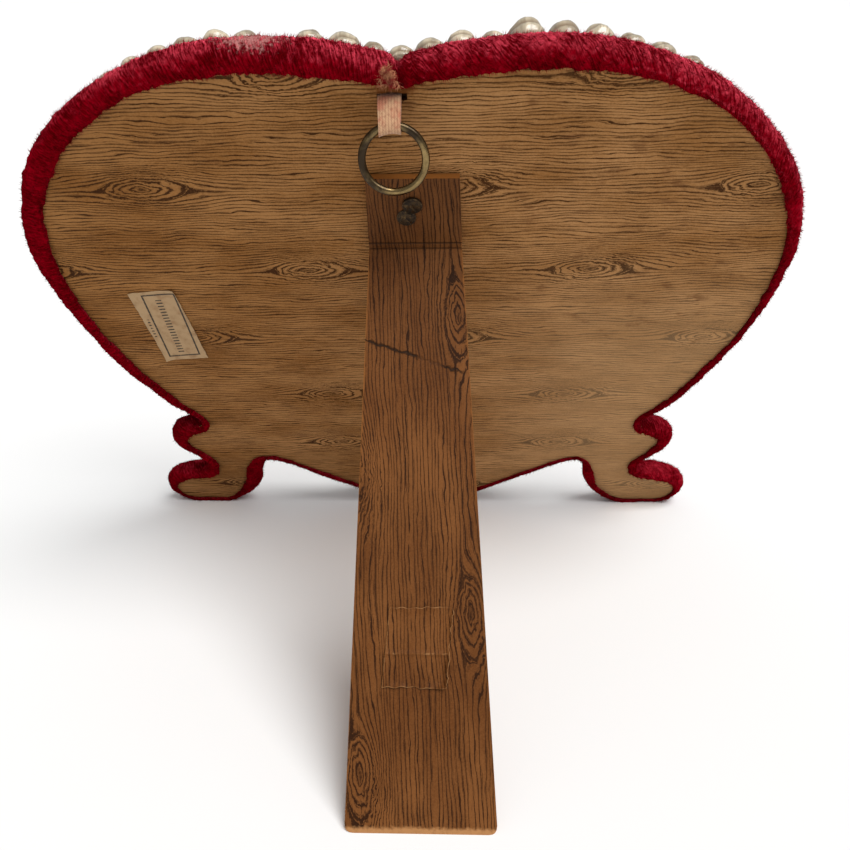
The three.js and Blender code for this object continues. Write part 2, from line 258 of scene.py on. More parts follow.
@dataclass(frozen=True)
class Plane:
    """A leaning frame: its own X is across, Y is depth and Z is up along it.

    Attributes:
        origin: Its zero point in the row frame, in millimetres.
        tilt: How far it is turned about X, in radians.
    """

    origin: tuple[float, float, float]
    tilt: float

    def place(self, across: Array, depth: Array, up: Array) -> Array:
        """Points of this frame, in millimetres, as metres in the row frame, shape (n, 3).

        Args:
            across, depth, up: Coordinates in millimetres.

        Returns:
            Places, one row each.
        """
        across, depth, up = np.broadcast_arrays(*(np.asarray(v, float) for v in (across, depth, up)))
        cos, sin = math.cos(self.tilt), math.sin(self.tilt)
        x, y, z = self.origin
        row = [x + across.ravel(), y + (depth * cos - up * sin).ravel(), z + (depth * sin + up * cos).ravel()]
        return MM * np.stack(row, axis=1)

    def point(self, across: float, depth: float, up: float) -> Vector:
        """One point of this frame as a vector in metres in the row frame."""
        return Vector(self.place(np.array([across]), np.array([depth]), np.array([up]))[0])


@dataclass(frozen=True)
class Station:
    """A point that an outline goes through, the direction there in degrees, and the reach of the
    curve's handles before and after it."""

    at: Pair
    heading: float
    before: float
    after: float


BOARD_STATIONS = [
    Station((0, 189), 0, 0, 1),
    Station((2.4, 189.3), 14, 1, 7),
    Station((34, 193.6), 0, 14, 38),
    Station((103, 129), -90, 34, 25),
    Station((80.4, 59), -123, 24, 3.4),
    Station((78.1, 52.4), -68, 3.4, 2.6),
    Station((88.4, 42.6), -90, 6.8, 6),
    Station((79.2, 25.6), -90, 6, 4.6),
    Station((87.6, 18.2), -4, 5, 5.4),
    Station((99.4, 9.5), -90, 5.4, 3.8),
    Station((92.5, 1.2), 180, 4.5, 3),
    Station((80.5, 1.2), 180, 3, 5),
    Station((66, 17.5), 98, 7, 6),
    Station((57.6, 32), 180, 6.2, 2.6),
    Station((49.5, 28.6), -145.5, 3.6, 8),
    Station((22, 9.6), -145.5, 8, 8),
    Station((0, 3), 180, 10, 0),
]
CUSHION_STATIONS = [
    Station((0, 187.4), 12, 0, 8),
    Station((34, 191.8), 0, 14, 37),
    Station((101, 129), -90, 33, 25),
    Station((78, 60), -123, 24, 17),
    Station((46, 29.6), -145.5, 16, 8),
    Station((22, 13.6), -145.5, 8, 8),
    Station((0, 7.6), 180, 10, 0),
]


@dataclass(frozen=True)
class Outline:
    """A smooth closed outline, mirrored about the middle, with points at even distances along it.

    Attributes:
        points: (across, up) of each point, clockwise from the notch.
        normals: Outward direction at each point, softened so that rings round tight corners stay clear.
        distance: Distance along the outline of each point.
    """

    points: Array
    normals: Array
    distance: Array

    @classmethod
    def through_stations(cls, stations: list[Station], step: float, soften: float) -> "Outline":
        """Joins each pair of stations by a cubic Bezier curve and mirrors the half.

        Args:
            stations: Right half, from the notch to the tip.
            step: Distance between points.
            soften: Distance over which normals are averaged, as a Gaussian's width.

        Returns:
            The whole outline.
        """
        t = np.linspace(0, 1, 200, endpoint=False)[:, None]
        half = []
        for start, end in itertools.pairwise(stations):
            p, q = np.array(start.at, float), np.array(end.at, float)
            leave, arrive = math.radians(start.heading), math.radians(end.heading)
            a = p + start.after * np.array([math.cos(leave), math.sin(leave)])
            b = q - end.before * np.array([math.cos(arrive), math.sin(arrive)])
            half.append(p * (1 - t) ** 3 + 3 * a * t * (1 - t) ** 2 + 3 * b * t**2 * (1 - t) + q * t**3)
        right = np.vstack([*half, [stations[-1].at]])
        whole = np.vstack([right, (right * [-1, 1])[-2::-1]])
        length = np.concatenate([[0], np.cumsum(np.linalg.norm(np.diff(whole, axis=0), axis=1))])
        count = 2 * round(length[-1] / step / 2)
        distance = np.arange(count) * length[-1] / count
        points = np.stack([np.interp(distance, length, whole[:, k]) for k in (0, 1)], axis=1)
        along = np.roll(points, -1, axis=0) - np.roll(points, 1, axis=0)
        normals = np.stack([-along[:, 1], along[:, 0]], axis=1)
        wave = np.fft.fftfreq(count, d=length[-1] / count)
        blur = np.exp(-0.5 * (2 * math.pi * wave * soften) ** 2)
        normals = np.fft.ifft(np.fft.fft(normals, axis=0) * blur[:, None], axis=0).real
        return cls(points, normals / np.linalg.norm(normals, axis=1, keepdims=True), distance)

    def ring(self, out: Array | float) -> Array:
        """The outline moved outwards by a distance, which may differ from point to point."""
        return self.points + np.reshape(out, (-1, 1)) * self.normals


def board_plane(lean: float, thickness: float) -> Plane:
    """The board's frame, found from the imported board's box: its highest point is the front edge of the
    lobes' tops and its rearmost point their back edge.

    Args:
        lean: The board's tilt in radians.
        thickness: Of the board.

    Returns:
        Its frame.
    """
    low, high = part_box("heart_board")
    cos, sin = math.cos(lean), math.sin(lean)
    top = (high[2] / MM - thickness * sin) / cos
    return Plane((0.0, low[1] / MM + top * sin, 0.0), lean)


# ------------------------------------------------------------------ shader building


class Sheet:
    """A node tree under construction, with short calls for the nodes that the finishes use."""

    def __init__(self, tree: Tree) -> None:
        """Takes the material's or the group's tree."""
        self.tree = tree

    def add(self, kind: str, **settings: object) -> bpy.types.Node:
        """A new node with its properties set.

        Args:
            kind: The node's type.
            settings: Its properties.

        Returns:
            The node.
        """
        node = self.tree.nodes.new(kind)
        for name, value in settings.items():
            setattr(node, name, value)
        return node

    def feed(self, socket: Socket, value: object) -> None:
        """Links an output to a socket, or sets a plain value on it.

        Args:
            socket: An input.
            value: An output, a plain value, or None to leave it.
        """
        if isinstance(value, Socket):
            self.tree.links.new(value, socket)
        elif value is not None:
            wide = socket.type == "RGBA" and len(value) == 3
            socket.default_value = (*value, 1.0) if wide else value

    def math(self, operation: str, *values: object, clamp: bool = False) -> Socket:
        """A Math node's result.

        Args:
            operation: Its name.
            values: For its inputs.
            clamp: Keeps the result from 0 to 1.

        Returns:
            The result.
        """
        node = self.add("ShaderNodeMath", operation=operation, use_clamp=clamp)
        for socket, value in zip(node.inputs, values):
            self.feed(socket, value)
        return node.outputs[0]

    plus = functools.partialmethod(math, "ADD")
    minus = functools.partialmethod(math, "SUBTRACT")
    times = functools.partialmethod(math, "MULTIPLY")
    fused = functools.partialmethod(math, "MULTIPLY_ADD")
    size = functools.partialmethod(math, "ABSOLUTE")
    most = functools.partialmethod(math, "MAXIMUM")

    def vector(self, operation: str, *values: object) -> Socket:
        """A Vector Math node's vector.

        Args:
            operation: Its name.
            values: For its inputs.

        Returns:
            The vector.
        """
        node = self.add("ShaderNodeVectorMath", operation=operation)
        for socket, value in zip(node.inputs, values):
            self.feed(socket, value)
        return node.outputs[0]

    def split(self, vector: Socket) -> tuple[Socket, ...]:
        """A vector's X, Y and Z.

        Args:
            vector: To take apart.

        Returns:
            Its three numbers.
        """
        node = self.add("ShaderNodeSeparateXYZ")
        self.feed(node.inputs[0], vector)
        return tuple(node.outputs)

    def join(self, x: object, y: object, z: object = 0.0) -> Socket:
        """A vector from its X, Y and Z.

        Args:
            x, y, z: Numbers or outputs.

        Returns:
            The vector.
        """
        node = self.add("ShaderNodeCombineXYZ")
        for socket, value in zip(node.inputs, (x, y, z)):
            self.feed(socket, value)
        return node.outputs[0]

    def noise(
        self, vector: object, scale: object = 1.0, detail: float = 2.0, rough: float = 0.5, seed: float = 0.0
    ) -> Socket:
        """Noise from 0 to 1 at a vector, with a seed that moves it along the fourth dimension.

        Args:
            vector: The place.
            scale, detail, rough: The noise's own.
            seed: Its fourth coordinate.

        Returns:
            The noise.
        """
        node = self.add("ShaderNodeTexNoise", noise_dimensions="4D")
        self.feed(node.inputs["Vector"], vector)
        self.feed(node.inputs["Scale"], scale)
        self.feed(node.inputs["W"], seed)
        self.feed(node.inputs["Detail"], detail)
        self.feed(node.inputs["Roughness"], rough)
        return node.outputs[0]

    def step(
        self, value: object, low: object, high: object, start: object = 0.0, end: object = 1.0
    ) -> Socket:
        """Goes smoothly from start at low to end at high and stays there.

        Args:
            value: To follow.
            low, high: Where the change begins and ends.
            start, end: Result there.

        Returns:
            The result.
        """
        node = self.add("ShaderNodeMapRange", interpolation_type="SMOOTHSTEP")
        for socket, number in zip(node.inputs, (value, low, high, start, end)):
            self.feed(socket, number)
        return node.outputs[0]

    def mix(self, factor: object, a: object, b: object, blend: str = "MIX") -> Socket:
        """Colour a turned into colour b by a factor.

        Args:
            factor: From 0 to 1.
            a, b: Colours.
            blend: How they mix.

        Returns:
            The colour.
        """
        node = self.add("ShaderNodeMix", data_type="RGBA", blend_type=blend)
        self.feed(node.inputs[0], factor)
        self.feed(node.inputs[6], a)
        self.feed(node.inputs[7], b)
        return node.outputs[2]

    def local(self, plane: Plane) -> Socket:
        """Object coordinates in a leaning frame, in millimetres: the place less the frame's origin,
        turned back by its tilt and divided by a millimetre.

        Args:
            plane: The frame.

        Returns:
            The place in it.
        """
        where = self.add("ShaderNodeTexCoord")
        mapping = self.add("ShaderNodeMapping", vector_type="TEXTURE")
        self.feed(mapping.inputs["Vector"], where.outputs["Object"])
        self.feed(mapping.inputs["Location"], [MM * v for v in plane.origin])
        self.feed(mapping.inputs["Rotation"], (plane.tilt, 0.0, 0.0))
        self.feed(mapping.inputs["Scale"], (MM, MM, MM))
        return mapping.outputs[0]

    def attribute(self, name: str) -> Socket:
        """A named number of the surface."""
        return self.add("ShaderNodeAttribute", attribute_name=name).outputs["Fac"]

    def uv(self) -> Socket:
        """The piece's own UV map."""
        return self.add("ShaderNodeUVMap", uv_map="surface").outputs[0]

    def group(self, tree: Tree, **inputs: object) -> dict[str, Socket]:
        """Places a node group and gives its outputs by name; inputs are named with _ for a space.

        Args:
            tree: The group.
            inputs: Values by name.

        Returns:
            Its outputs by name.
        """
        node = self.add("ShaderNodeGroup", node_tree=tree)
        for name, value in inputs.items():
            self.feed(node.inputs[name.replace("_", " ").title()], value)
        return {socket.name: socket for socket in node.outputs}

    def bump(self, height: object, distance: float, strength: float = 1.0) -> Socket:
        """A normal from a height from 0 to 1; distance is that height in millimetres.

        Args:
            height: From 0 to 1.
            distance: In millimetres.
            strength: Of the node.

        Returns:
            The normal.
        """
        node = self.add("ShaderNodeBump")
        self.feed(node.inputs["Strength"], strength)
        self.feed(node.inputs["Distance"], distance * MM)
        self.feed(node.inputs["Height"], height)
        return node.outputs[0]


def new_material(name: str, build: object) -> bpy.types.Material:
    """A material whose Principled shader takes the sockets and plain values that build gives.

    Args:
        name: The material's name.
        build: Called with the sheet; gives {input name: socket or value}.

    Returns:
        The material.
    """
    material = bpy.data.materials.new(name)
    material.use_nodes = True
    sheet = Sheet(material.node_tree)
    shader = material.node_tree.nodes["Principled BSDF"]
    for socket, value in build(sheet).items():
        sheet.feed(shader.inputs[socket], value)
    return material


def new_group(name: str, inputs: dict[str, str], outputs: list[str]) -> tuple[Sheet, dict, dict]:
    """An empty shader group.

    Args:
        name: The group's name.
        inputs: Input name to kind: "Float", "Vector" or "Color".
        outputs: Names of its outputs, all numbers.

    Returns:
        Its sheet, its inputs' sockets by name, and its outputs' sockets by name.
    """
    tree = bpy.data.node_groups.new(name, "ShaderNodeTree")
    for label, kind in inputs.items():
        tree.interface.new_socket(label, in_out="INPUT", socket_type=f"NodeSocket{kind}")
    for label in outputs:
        tree.interface.new_socket(label, in_out="OUTPUT", socket_type="NodeSocketFloat")
    sheet = Sheet(tree)
    start, end = sheet.add("NodeGroupInput"), sheet.add("NodeGroupOutput")
    return sheet, {s.name: s for s in start.outputs}, {s.name: s for s in end.inputs}


@dataclass(frozen=True)
class Grain:
    """The values that a paper gives to the printed grain.

    Attributes:
        spacing: Between lines.
        further: How much further than the others row 0 of the knots lies.
        long_sway, short_sway: How far lines stray in long and in short waves.
        bunch: How far lines stray over a long stretch, so that they lie closer in places.
        weight: How much the lines swell.
        breaks: How broken the lines are, from 0 to 1.
    """

    spacing: float = 1.05
    further: float = 2.8
    long_sway: float = 5.0
    short_sway: float = 0.9
    bunch: float = 2.0
    weight: float = 0.34
    breaks: float = 1.0


@dataclass(frozen=True)
class GrainPrint:
    """The printed wood grain: dark lines along the grain that part round rows of eye-shaped knots.

    Attributes:
        repeat: Between knots of one row, along the grain.
        row_pitch: Between rows, across the grain.
        first_row: Where row 0 would lie across the grain at the same pitch.
        first_knot: Where a knot of row 0 lies along the grain.
        shifted_rows: Rows whose knots lie half a repeat further along.
        eye: Half length and half height of a knot.
        rings: Lines inside a knot.
        skewed: How far the rings of a knot lie towards one end.
    """

    repeat: float = 79.0
    row_pitch: float = 29.0
    first_row: float = 187.0
    first_knot: float = -28.0
    shifted_rows: tuple[int, ...] = (1, 3, 6)
    eye: Pair = (11.0, 3.9)
    rings: float = 4.2
    skewed: float = 0.55

    def group(self) -> Tree:
        """Builds the group: Print (along, across, 0) in millimetres and a Grain's values in; Ink, Knot
        and Tone out.

        Outside a knot the lines are where v (1 - w / r^2) / spacing is whole, as a stream parts round
        a post, with r the distance from the knot in half sizes and w fading with distance. Inside
        they are where rings * r is whole, with r skewed so that the eye lies towards one end. Three
        sizes of noise sway both, and a fine grain breaks them up.

        Returns:
            The group.
        """
        values = {name.replace("_", " ").title(): "Float" for name in asdict(Grain())}
        sheet, given, out = new_group("printed_grain", {"Print": "Vector", **values}, ["Ink", "Knot", "Tone"])

        def cloud(along: float, across: float, seed: int, detail: float = 2.0) -> Socket:
            """Noise with cells of the given size in millimetres."""
            stretched = sheet.vector("MULTIPLY", given["Print"], (1 / along, 1 / across, 1))
            return sheet.noise(stretched, detail=detail, seed=seed)

        middle = 0.5
        sway = sheet.times(sheet.minus(cloud(26, 9, 2, 3), middle), given["Long Sway"])
        short_wave = sheet.minus(cloud(6, 2.6, 5, 2), middle)
        sway = sheet.fused(short_wave, given["Short Sway"], sway)
        sway = sheet.fused(cloud(70, 3.6, 31), given["Bunch"], sway)
        ripple = sheet.fused(cloud(3.4, 1.6, 6, 4), 2.8, -1.4)
        along, across, _ = sheet.split(given["Print"])
        above = sheet.minus(across, self.first_row)
        row = sheet.math("ROUND", sheet.math("DIVIDE", above, -self.row_pitch))
        level = sheet.fused(row, self.row_pitch, above)
        lifted = sheet.times(sheet.math("COMPARE", row, 0.0, middle), given["Further"])
        level = sheet.minus(level, lifted)
        shifts = [sheet.math("COMPARE", row, float(r), middle) for r in self.shifted_rows]
        shift = functools.reduce(lambda one, other: sheet.plus(one, other), shifts)
        from_first = sheet.minus(along, self.first_knot)
        here = sheet.fused(shift, -self.repeat / 2, from_first)
        knot_along = sheet.math("WRAP", here, self.repeat / 2, -self.repeat / 2)
        near = sheet.math("DIVIDE", sheet.fused(ripple, 1.6, knot_along), self.eye[0])
        high = sheet.math("DIVIDE", sheet.fused(ripple, 0.8, level), self.eye[1])
        pinch = sheet.size(high)
        square = sheet.times(pinch, sheet.plus(pinch, 0.12))
        square = sheet.fused(near, near, square)
        radius = sheet.math("SQRT", square)
        fade = sheet.step(radius, 1.1, 3.4, 1.0, 0.0)
        part = sheet.minus(1.0, sheet.math("DIVIDE", fade, sheet.most(square, 1.0)))
        parted = sheet.times(sheet.plus(level, sway), part)
        stream = sheet.math("DIVIDE", parted, given["Spacing"])
        inside = sheet.math("LESS_THAN", radius, 1.0)
        outer = sheet.times(stream, sheet.minus(1.0, inside))
        skew = sheet.times(sheet.times(near, self.skewed), sheet.minus(1.0, radius))
        skewed = sheet.plus(radius, sheet.times(skew, inside))
        phase = sheet.fused(sheet.times(skewed, self.rings), inside, outer)
        knot = sheet.step(radius, 0.9, 2.3, 1.0, 0.0)
        dashes, swell, patches = cloud(14, 0.9, 8), cloud(6, 1.1, 11, 3), cloud(16, 5, 14)
        blots = sheet.step(cloud(3.6, 0.5, 23, 3), 0.61, 0.7)
        grit = sheet.noise(given["Print"], 4.5, detail=3, rough=0.7, seed=19)
        feather = cloud(0.9, 0.35, 29, 3)
        width = sheet.fused(swell, given["Weight"], sheet.fused(knot, 0.06, -0.06))
        width = sheet.fused(grit, 0.16, sheet.minus(width, 0.08))
        feathered = sheet.minus(feather, middle)
        width = sheet.fused(feathered, sheet.times(knot, 0.5), width)
        main = self._lines(sheet, phase, width)
        fine = self._lines(sheet, sheet.fused(phase, 2.0, 0.5), width)
        unbroken = sheet.fused(given["Breaks"], -0.75, 1.0)
        dashed = sheet.step(dashes, 0.3, 0.44, unbroken, 1.0)
        printed = sheet.most(dashed, sheet.times(knot, 0.9))
        in_patches = sheet.step(patches, 0.42, 0.58, 0.1, 0.9)
        faint = sheet.times(in_patches, sheet.step(dashes, 0.4, 0.56, 0.15, 0.9))
        ink = sheet.most(sheet.times(main, printed), sheet.times(fine, faint))
        pupil = sheet.step(sheet.fused(feather, 0.3, skewed), 0.2, 0.36, 0.9, 0.0)
        blotted = sheet.times(blots, sheet.fused(knot, 0.5, 0.4))
        ink = sheet.most(ink, sheet.most(pupil, blotted))
        sheet.feed(out["Ink"], sheet.times(ink, sheet.step(grit, 0.2, 0.5, 0.5, 1.0)))
        sheet.feed(out["Knot"], knot)
        sheet.feed(out["Tone"], cloud(30, 12, 17, 5))
        return sheet.tree

    @staticmethod
    def _lines(sheet: Sheet, phase: object, width: object) -> Socket:
        """Lines where phase is whole, of the given half width in units of the spacing.

        Args:
            sheet: The group's sheet.
            phase: Distance in line spacings.
            width: Half width in spacings.

        Returns:
            1 on a line and 0 off it.
        """
        away = sheet.math("PINGPONG", phase, 0.5)
        low, high = sheet.times(width, 0.6), sheet.fused(width, 1.15, 0.03)
        return sheet.step(away, low, high, 1.0, 0.0)


@functools.cache
def printed_grain() -> Tree:
    """The grain group of both papers."""
    return GrainPrint().group()


@functools.cache
def paper_mottle() -> Tree:
    """The mottling of both papers: how shaded the ground is, how strongly the ink shows, and the fibre.

    Shade is the print's tone plus fine noise, and Strength is the ink times 0.75 plus half that noise.

    Returns:
        The group, with Where, Ink and Tone in.
    """
    given_kinds = {"Where": "Vector", "Ink": "Float", "Tone": "Float"}
    sheet, given, out = new_group("paper_mottle", given_kinds, ["Shade", "Strength", "Fibre"])
    fine = sheet.noise(given["Where"], 2.4, detail=4, rough=0.65, seed=21)
    mottle = sheet.fused(fine, 1.9, -0.95)
    seen = sheet.fused(fine, 0.5, 0.75)
    sheet.feed(out["Shade"], sheet.plus(sheet.step(given["Tone"], 0.3, 0.72), mottle, clamp=True))
    sheet.feed(out["Strength"], sheet.times(given["Ink"], seen, clamp=True))
    sheet.feed(out["Fibre"], sheet.noise(given["Where"], 5.0, detail=3, seed=25))
    return sheet.tree


@functools.cache
def plush_pile() -> Tree:
    """The unevenness of the pile and of its fibres at a place: crushed areas and single tufts.

    Returns:
        The group, with Where in.
    """
    sheet, given, out = new_group("plush_pile", {"Where": "Vector"}, ["Crushed", "Tufts"])
    sheet.feed(out["Crushed"], sheet.noise(given["Where"], 0.13, detail=4, rough=0.6, seed=31))
    sheet.feed(out["Tufts"], sheet.noise(given["Where"], 1.1, detail=3, rough=0.65, seed=33))
    return sheet.tree


@functools.cache
def metal_patina() -> Tree:
    """The patina of both metals: Dull, a cloud with specks in it that is steeper the more is dulled,
    and the specks, five to a cloud.

    Returns:
        The group, with Where, Scale and Dulled in.
    """
    given_kinds = {"Where": "Vector", "Scale": "Float", "Dulled": "Float"}
    sheet, given, out = new_group("metal_patina", given_kinds, ["Dull", "Speck"])
    cloud = sheet.noise(given["Where"], given["Scale"], detail=5, rough=0.62, seed=41)
    speck = sheet.noise(given["Where"], sheet.times(given["Scale"], 5.0), detail=3, seed=43)
    low, high = (sheet.minus(limit, given["Dulled"]) for limit in (0.72, 0.98))
    sheet.feed(out["Dull"], sheet.step(sheet.fused(speck, 0.35, cloud), low, high))
    sheet.feed(out["Speck"], speck)
    return sheet.tree


# ------------------------------------------------------------------ finishes


@dataclass(frozen=True)
class PaperFinish:
    """Printed wood-grain paper pasted on card.

    Attributes:
        ground: Colour between the printed lines.
        shade: The ground where it is darker.
        ink: Colour of the lines.
        rubbed: Colour where an edge is worn through.
        gloss: Roughness of the varnished paper.
        grain: The values of its print.
    """

    ground: Colour
    shade: Colour
    ink: Colour
    rubbed: Colour
    gloss: float
    grain: Grain = Grain()

    def printed(self, sheet: Sheet, where: Socket) -> dict[str, Socket]:
        """The grain and the mottling at a place of the print in millimetres, by name.

        Args:
            sheet: The material's sheet.
            where: The place in the print.

        Returns:
            Both groups' outputs.
        """
        grain = sheet.group(printed_grain(), print=where, **asdict(self.grain))
        mottle = sheet.group(paper_mottle(), where=where, ink=grain["Ink"], tone=grain["Tone"])
        return grain | mottle

    def colour(self, sheet: Sheet, printed: dict[str, Socket]) -> Socket:
        """The printed colour: mottled ground under the ink."""
        ground = sheet.mix(printed["Shade"], self.ground, self.shade)
        return sheet.mix(printed["Strength"], ground, self.ink)


@dataclass(frozen=True)
class PlushFinish:
    """Crimson plush, worn pale in places, with a painted highlight: its tips and the crest of its roll are
    painted light, most at grazing angles, and it is dark where seen into.

    Attributes:
        deep, bright, glance: Colours of the pile from its shadows to its tips, and of its painted highlight.
        shares: Of the nap, the crushed areas and the tufts in how light the pile is.
        glance_strength: How strongly the painted highlight shows on the tips and the crest.
        worn: Where the pile is rubbed off.
        worn_at, worn_size: Middle and half sizes of the rubbed patch in the board's frame.
        glow_between: Heights between which the painted highlight fades out downwards.
        streak: Length and width of the combed tufts.
    """

    deep: Colour = (0.07, 0.0, 0.001)
    bright: Colour = (0.27, 0.0, 0.007)
    glance: Colour = (1.0, 0.11, 0.17)
    worn: Colour = (0.62, 0.27, 0.25)
    worn_at: tuple[float, float, float] = (-33.0, 3.5, 197.0)
    worn_size: tuple[float, float, float] = (8.0, 4.0, 2.6)
    glow_between: Pair = (70.0, 140.0)
    streak: Pair = (3.2, 0.5)
    shares: tuple[float, float, float] = (0.5, 0.3, 0.2)
    glance_strength: float = 2.0

    def material(self, name: str, board: Plane, tips: bool) -> bpy.types.Material:
        """Builds it.

        Args:
            name: The material's name.
            board: The board's frame, which places the worn patch.
            tips: Whether the piece is fibres, which carry the attribute "tip"; a surface carries its
                pile's direction as a UV map in millimetres instead.

        Returns:
            The material.
        """

        def build(sheet: Sheet) -> dict[str, object]:
            """The plush's sockets: pile, a painted highlight on the tips and the crest that is strongest at
            grazing angles, and the worn patch.
            """
            where = sheet.local(board)
            crushed, tufts = sheet.group(plush_pile(), where=where).values()
            if tips:
                nap = tufts
            else:
                combed = sheet.vector("MULTIPLY", sheet.uv(), (1 / self.streak[1], 1 / self.streak[0], 1))
                nap = sheet.noise(combed, 1.0, detail=3, rough=0.6, seed=35)
            of_nap, of_crushed, of_tufts = self.shares
            mixed = sheet.fused(crushed, of_crushed, sheet.times(tufts, of_tufts))
            mixed = sheet.fused(nap, of_nap, mixed)
            pile = sheet.mix(sheet.step(mixed, 0.4, 0.62), self.deep, self.bright)
            # Painted highlight: the crest attribute, fading out lower down, lights the fibres' tips and the
            # roll's crest, strongest at grazing angles.
            _, _, up = sheet.split(where)
            glow = sheet.step(up, *self.glow_between, 0.3, 1.0)
            shine = sheet.times(sheet.attribute("crest"), glow)
            if tips:
                glitter = sheet.step(tufts, 0.42, 0.6, 0.1, 1.0)
                shine = sheet.times(shine, sheet.attribute("tip"))
            else:
                glitter = sheet.step(mixed, 0.45, 0.6, 0.02, 0.95)
            facing = sheet.add("ShaderNodeLayerWeight")
            facing.inputs["Blend"].default_value = 0.3
            glance = sheet.step(facing.outputs["Facing"], 0.3, 1.0, 0.25, 1.0)
            strength = sheet.times(sheet.times(glance, shine), glitter)
            strength = sheet.times(strength, self.glance_strength, clamp=True)
            lit = sheet.mix(strength, pile, self.glance)
            patch = sheet.vector("DIVIDE", sheet.vector("SUBTRACT", where, self.worn_at), self.worn_size)
            far = sheet.add("ShaderNodeVectorMath", operation="LENGTH")
            sheet.feed(far.inputs[0], patch)
            ragged = sheet.fused(tufts, 3.4, far.outputs["Value"])
            bald = sheet.step(ragged, 1.9, 2.7, 0.65, 0.0)
            return {
                "Base Color": sheet.mix(bald, lit, self.worn),
                "Roughness": 0.85,
                "Specular IOR Level": 0.0,
                "Sheen Weight": 0.12,
                "Sheen Roughness": 0.35,
                "Sheen Tint": (1.0, 0.02, 0.05, 1.0),
                "Normal": sheet.bump(sheet.fused(tufts, 0.4, nap), 0.6, 1.0),
            }

        return new_material(name, build)


@dataclass(frozen=True)
class PearlFinish:
    """Polished round shell: cream nacre with brownish growth bands and a darker whorl line.

    Attributes:
        cream, grey, brown: Colours of the nacre, of its clouds and bands, and of the whorl line.
        band: Radius and height, in noise cells, of the round surface that the bands are read from.
    """

    cream: Colour = (0.7, 0.6, 0.43)
    grey: Colour = (0.3, 0.25, 0.17)
    brown: Colour = (0.17, 0.1, 0.045)
    band: Pair = (2.4, 0.8)

    def material(self, name: str) -> bpy.types.Material:
        """Builds it. UV is (turn, from apex to rim), and "tone" differs from shell to shell.

        Args:
            name: The material's name.

        Returns:
            The material.
        """

        def build(sheet: Sheet) -> dict[str, object]:
            """The shell's sockets: clouded nacre, bands and the whorl line."""
            turn, rise, _ = sheet.split(sheet.uv())
            tone = sheet.attribute("tone")
            angle = sheet.times(turn, 2 * math.pi)
            reach, height = self.band
            round_x = sheet.times(sheet.math("COSINE", angle), reach)
            round_y = sheet.times(sheet.math("SINE", angle), reach)
            rays = sheet.join(round_x, round_y, sheet.times(rise, height))
            streak = sheet.noise(rays, 2.6, detail=3, seed=sheet.times(tone, 37.0))
            cloud = sheet.noise(rays, 0.6, detail=2, seed=sheet.times(tone, 91.0))
            base = sheet.mix(sheet.step(cloud, 0.4, 0.62, 0.0, 0.75), self.cream, self.grey)
            streaked = sheet.mix(sheet.step(streak, 0.5, 0.64, 0.0, 0.7), base, self.grey)
            whorl = sheet.attribute("suture")
            marked = sheet.mix(sheet.times(whorl, 0.8), streaked, self.brown)
            return {
                "Base Color": sheet.mix(sheet.step(tone, 0.55, 1.0, 0.0, 0.35), marked, self.brown),
                "Roughness": sheet.step(streak, 0.3, 0.8, 0.16, 0.34),
                "Coat Weight": 0.4,
                "Coat Roughness": 0.12,
                "Sheen Weight": 0.15,
                "Normal": sheet.bump(streak, 0.12, 0.5),
            }

        return new_material(name, build)


@dataclass(frozen=True)
class MetalFinish:
    """Old metal: bright where rubbed, dark in its patina, and darkened by painted shade where it turns away
    from view.

    Attributes:
        bright, patina: Colours of the rubbed and of the dull metal.
        rubbed_roughness, dull_roughness: Their roughness.
        scale: Patches of patina in a metre.
        dulled: How much of it is dull.
        turned: How strongly painted shade darkens it where it turns away from view.
    """

    bright: Colour
    patina: Colour
    rubbed_roughness: float
    dull_roughness: float
    scale: float
    dulled: float
    turned: float = 0.0

    def material(self, name: str) -> bpy.types.Material:
        """Builds it.

        Args:
            name: The material's name.

        Returns:
            The material.
        """

        def build(sheet: Sheet) -> dict[str, object]:
            """The metal's sockets: bright metal under its patina, with painted shade where it turns away."""
            where = sheet.add("ShaderNodeTexCoord").outputs["Object"]
            patina = sheet.group(metal_patina(), where=where, scale=self.scale, dulled=self.dulled)
            dull, speck = patina["Dull"], patina["Speck"]
            # Painted shade: at grazing angles the metal takes the patina's dark colour, as strongly as turned
            # says.
            facing = sheet.add("ShaderNodeLayerWeight")
            facing.inputs["Blend"].default_value = 0.5
            aside = sheet.step(facing.outputs["Facing"], 0.1, 0.75, 0.0, self.turned)
            return {
                "Base Color": sheet.mix(aside, sheet.mix(dull, self.bright, self.patina), self.patina),
                "Metallic": sheet.step(dull, 0.2, 1.0, 1.0, 0.7),
                "Roughness": sheet.step(dull, 0.0, 1.0, self.rubbed_roughness, self.dull_roughness),
                "Normal": sheet.bump(speck, 0.05, 0.5),
            }

        return new_material(name, build)


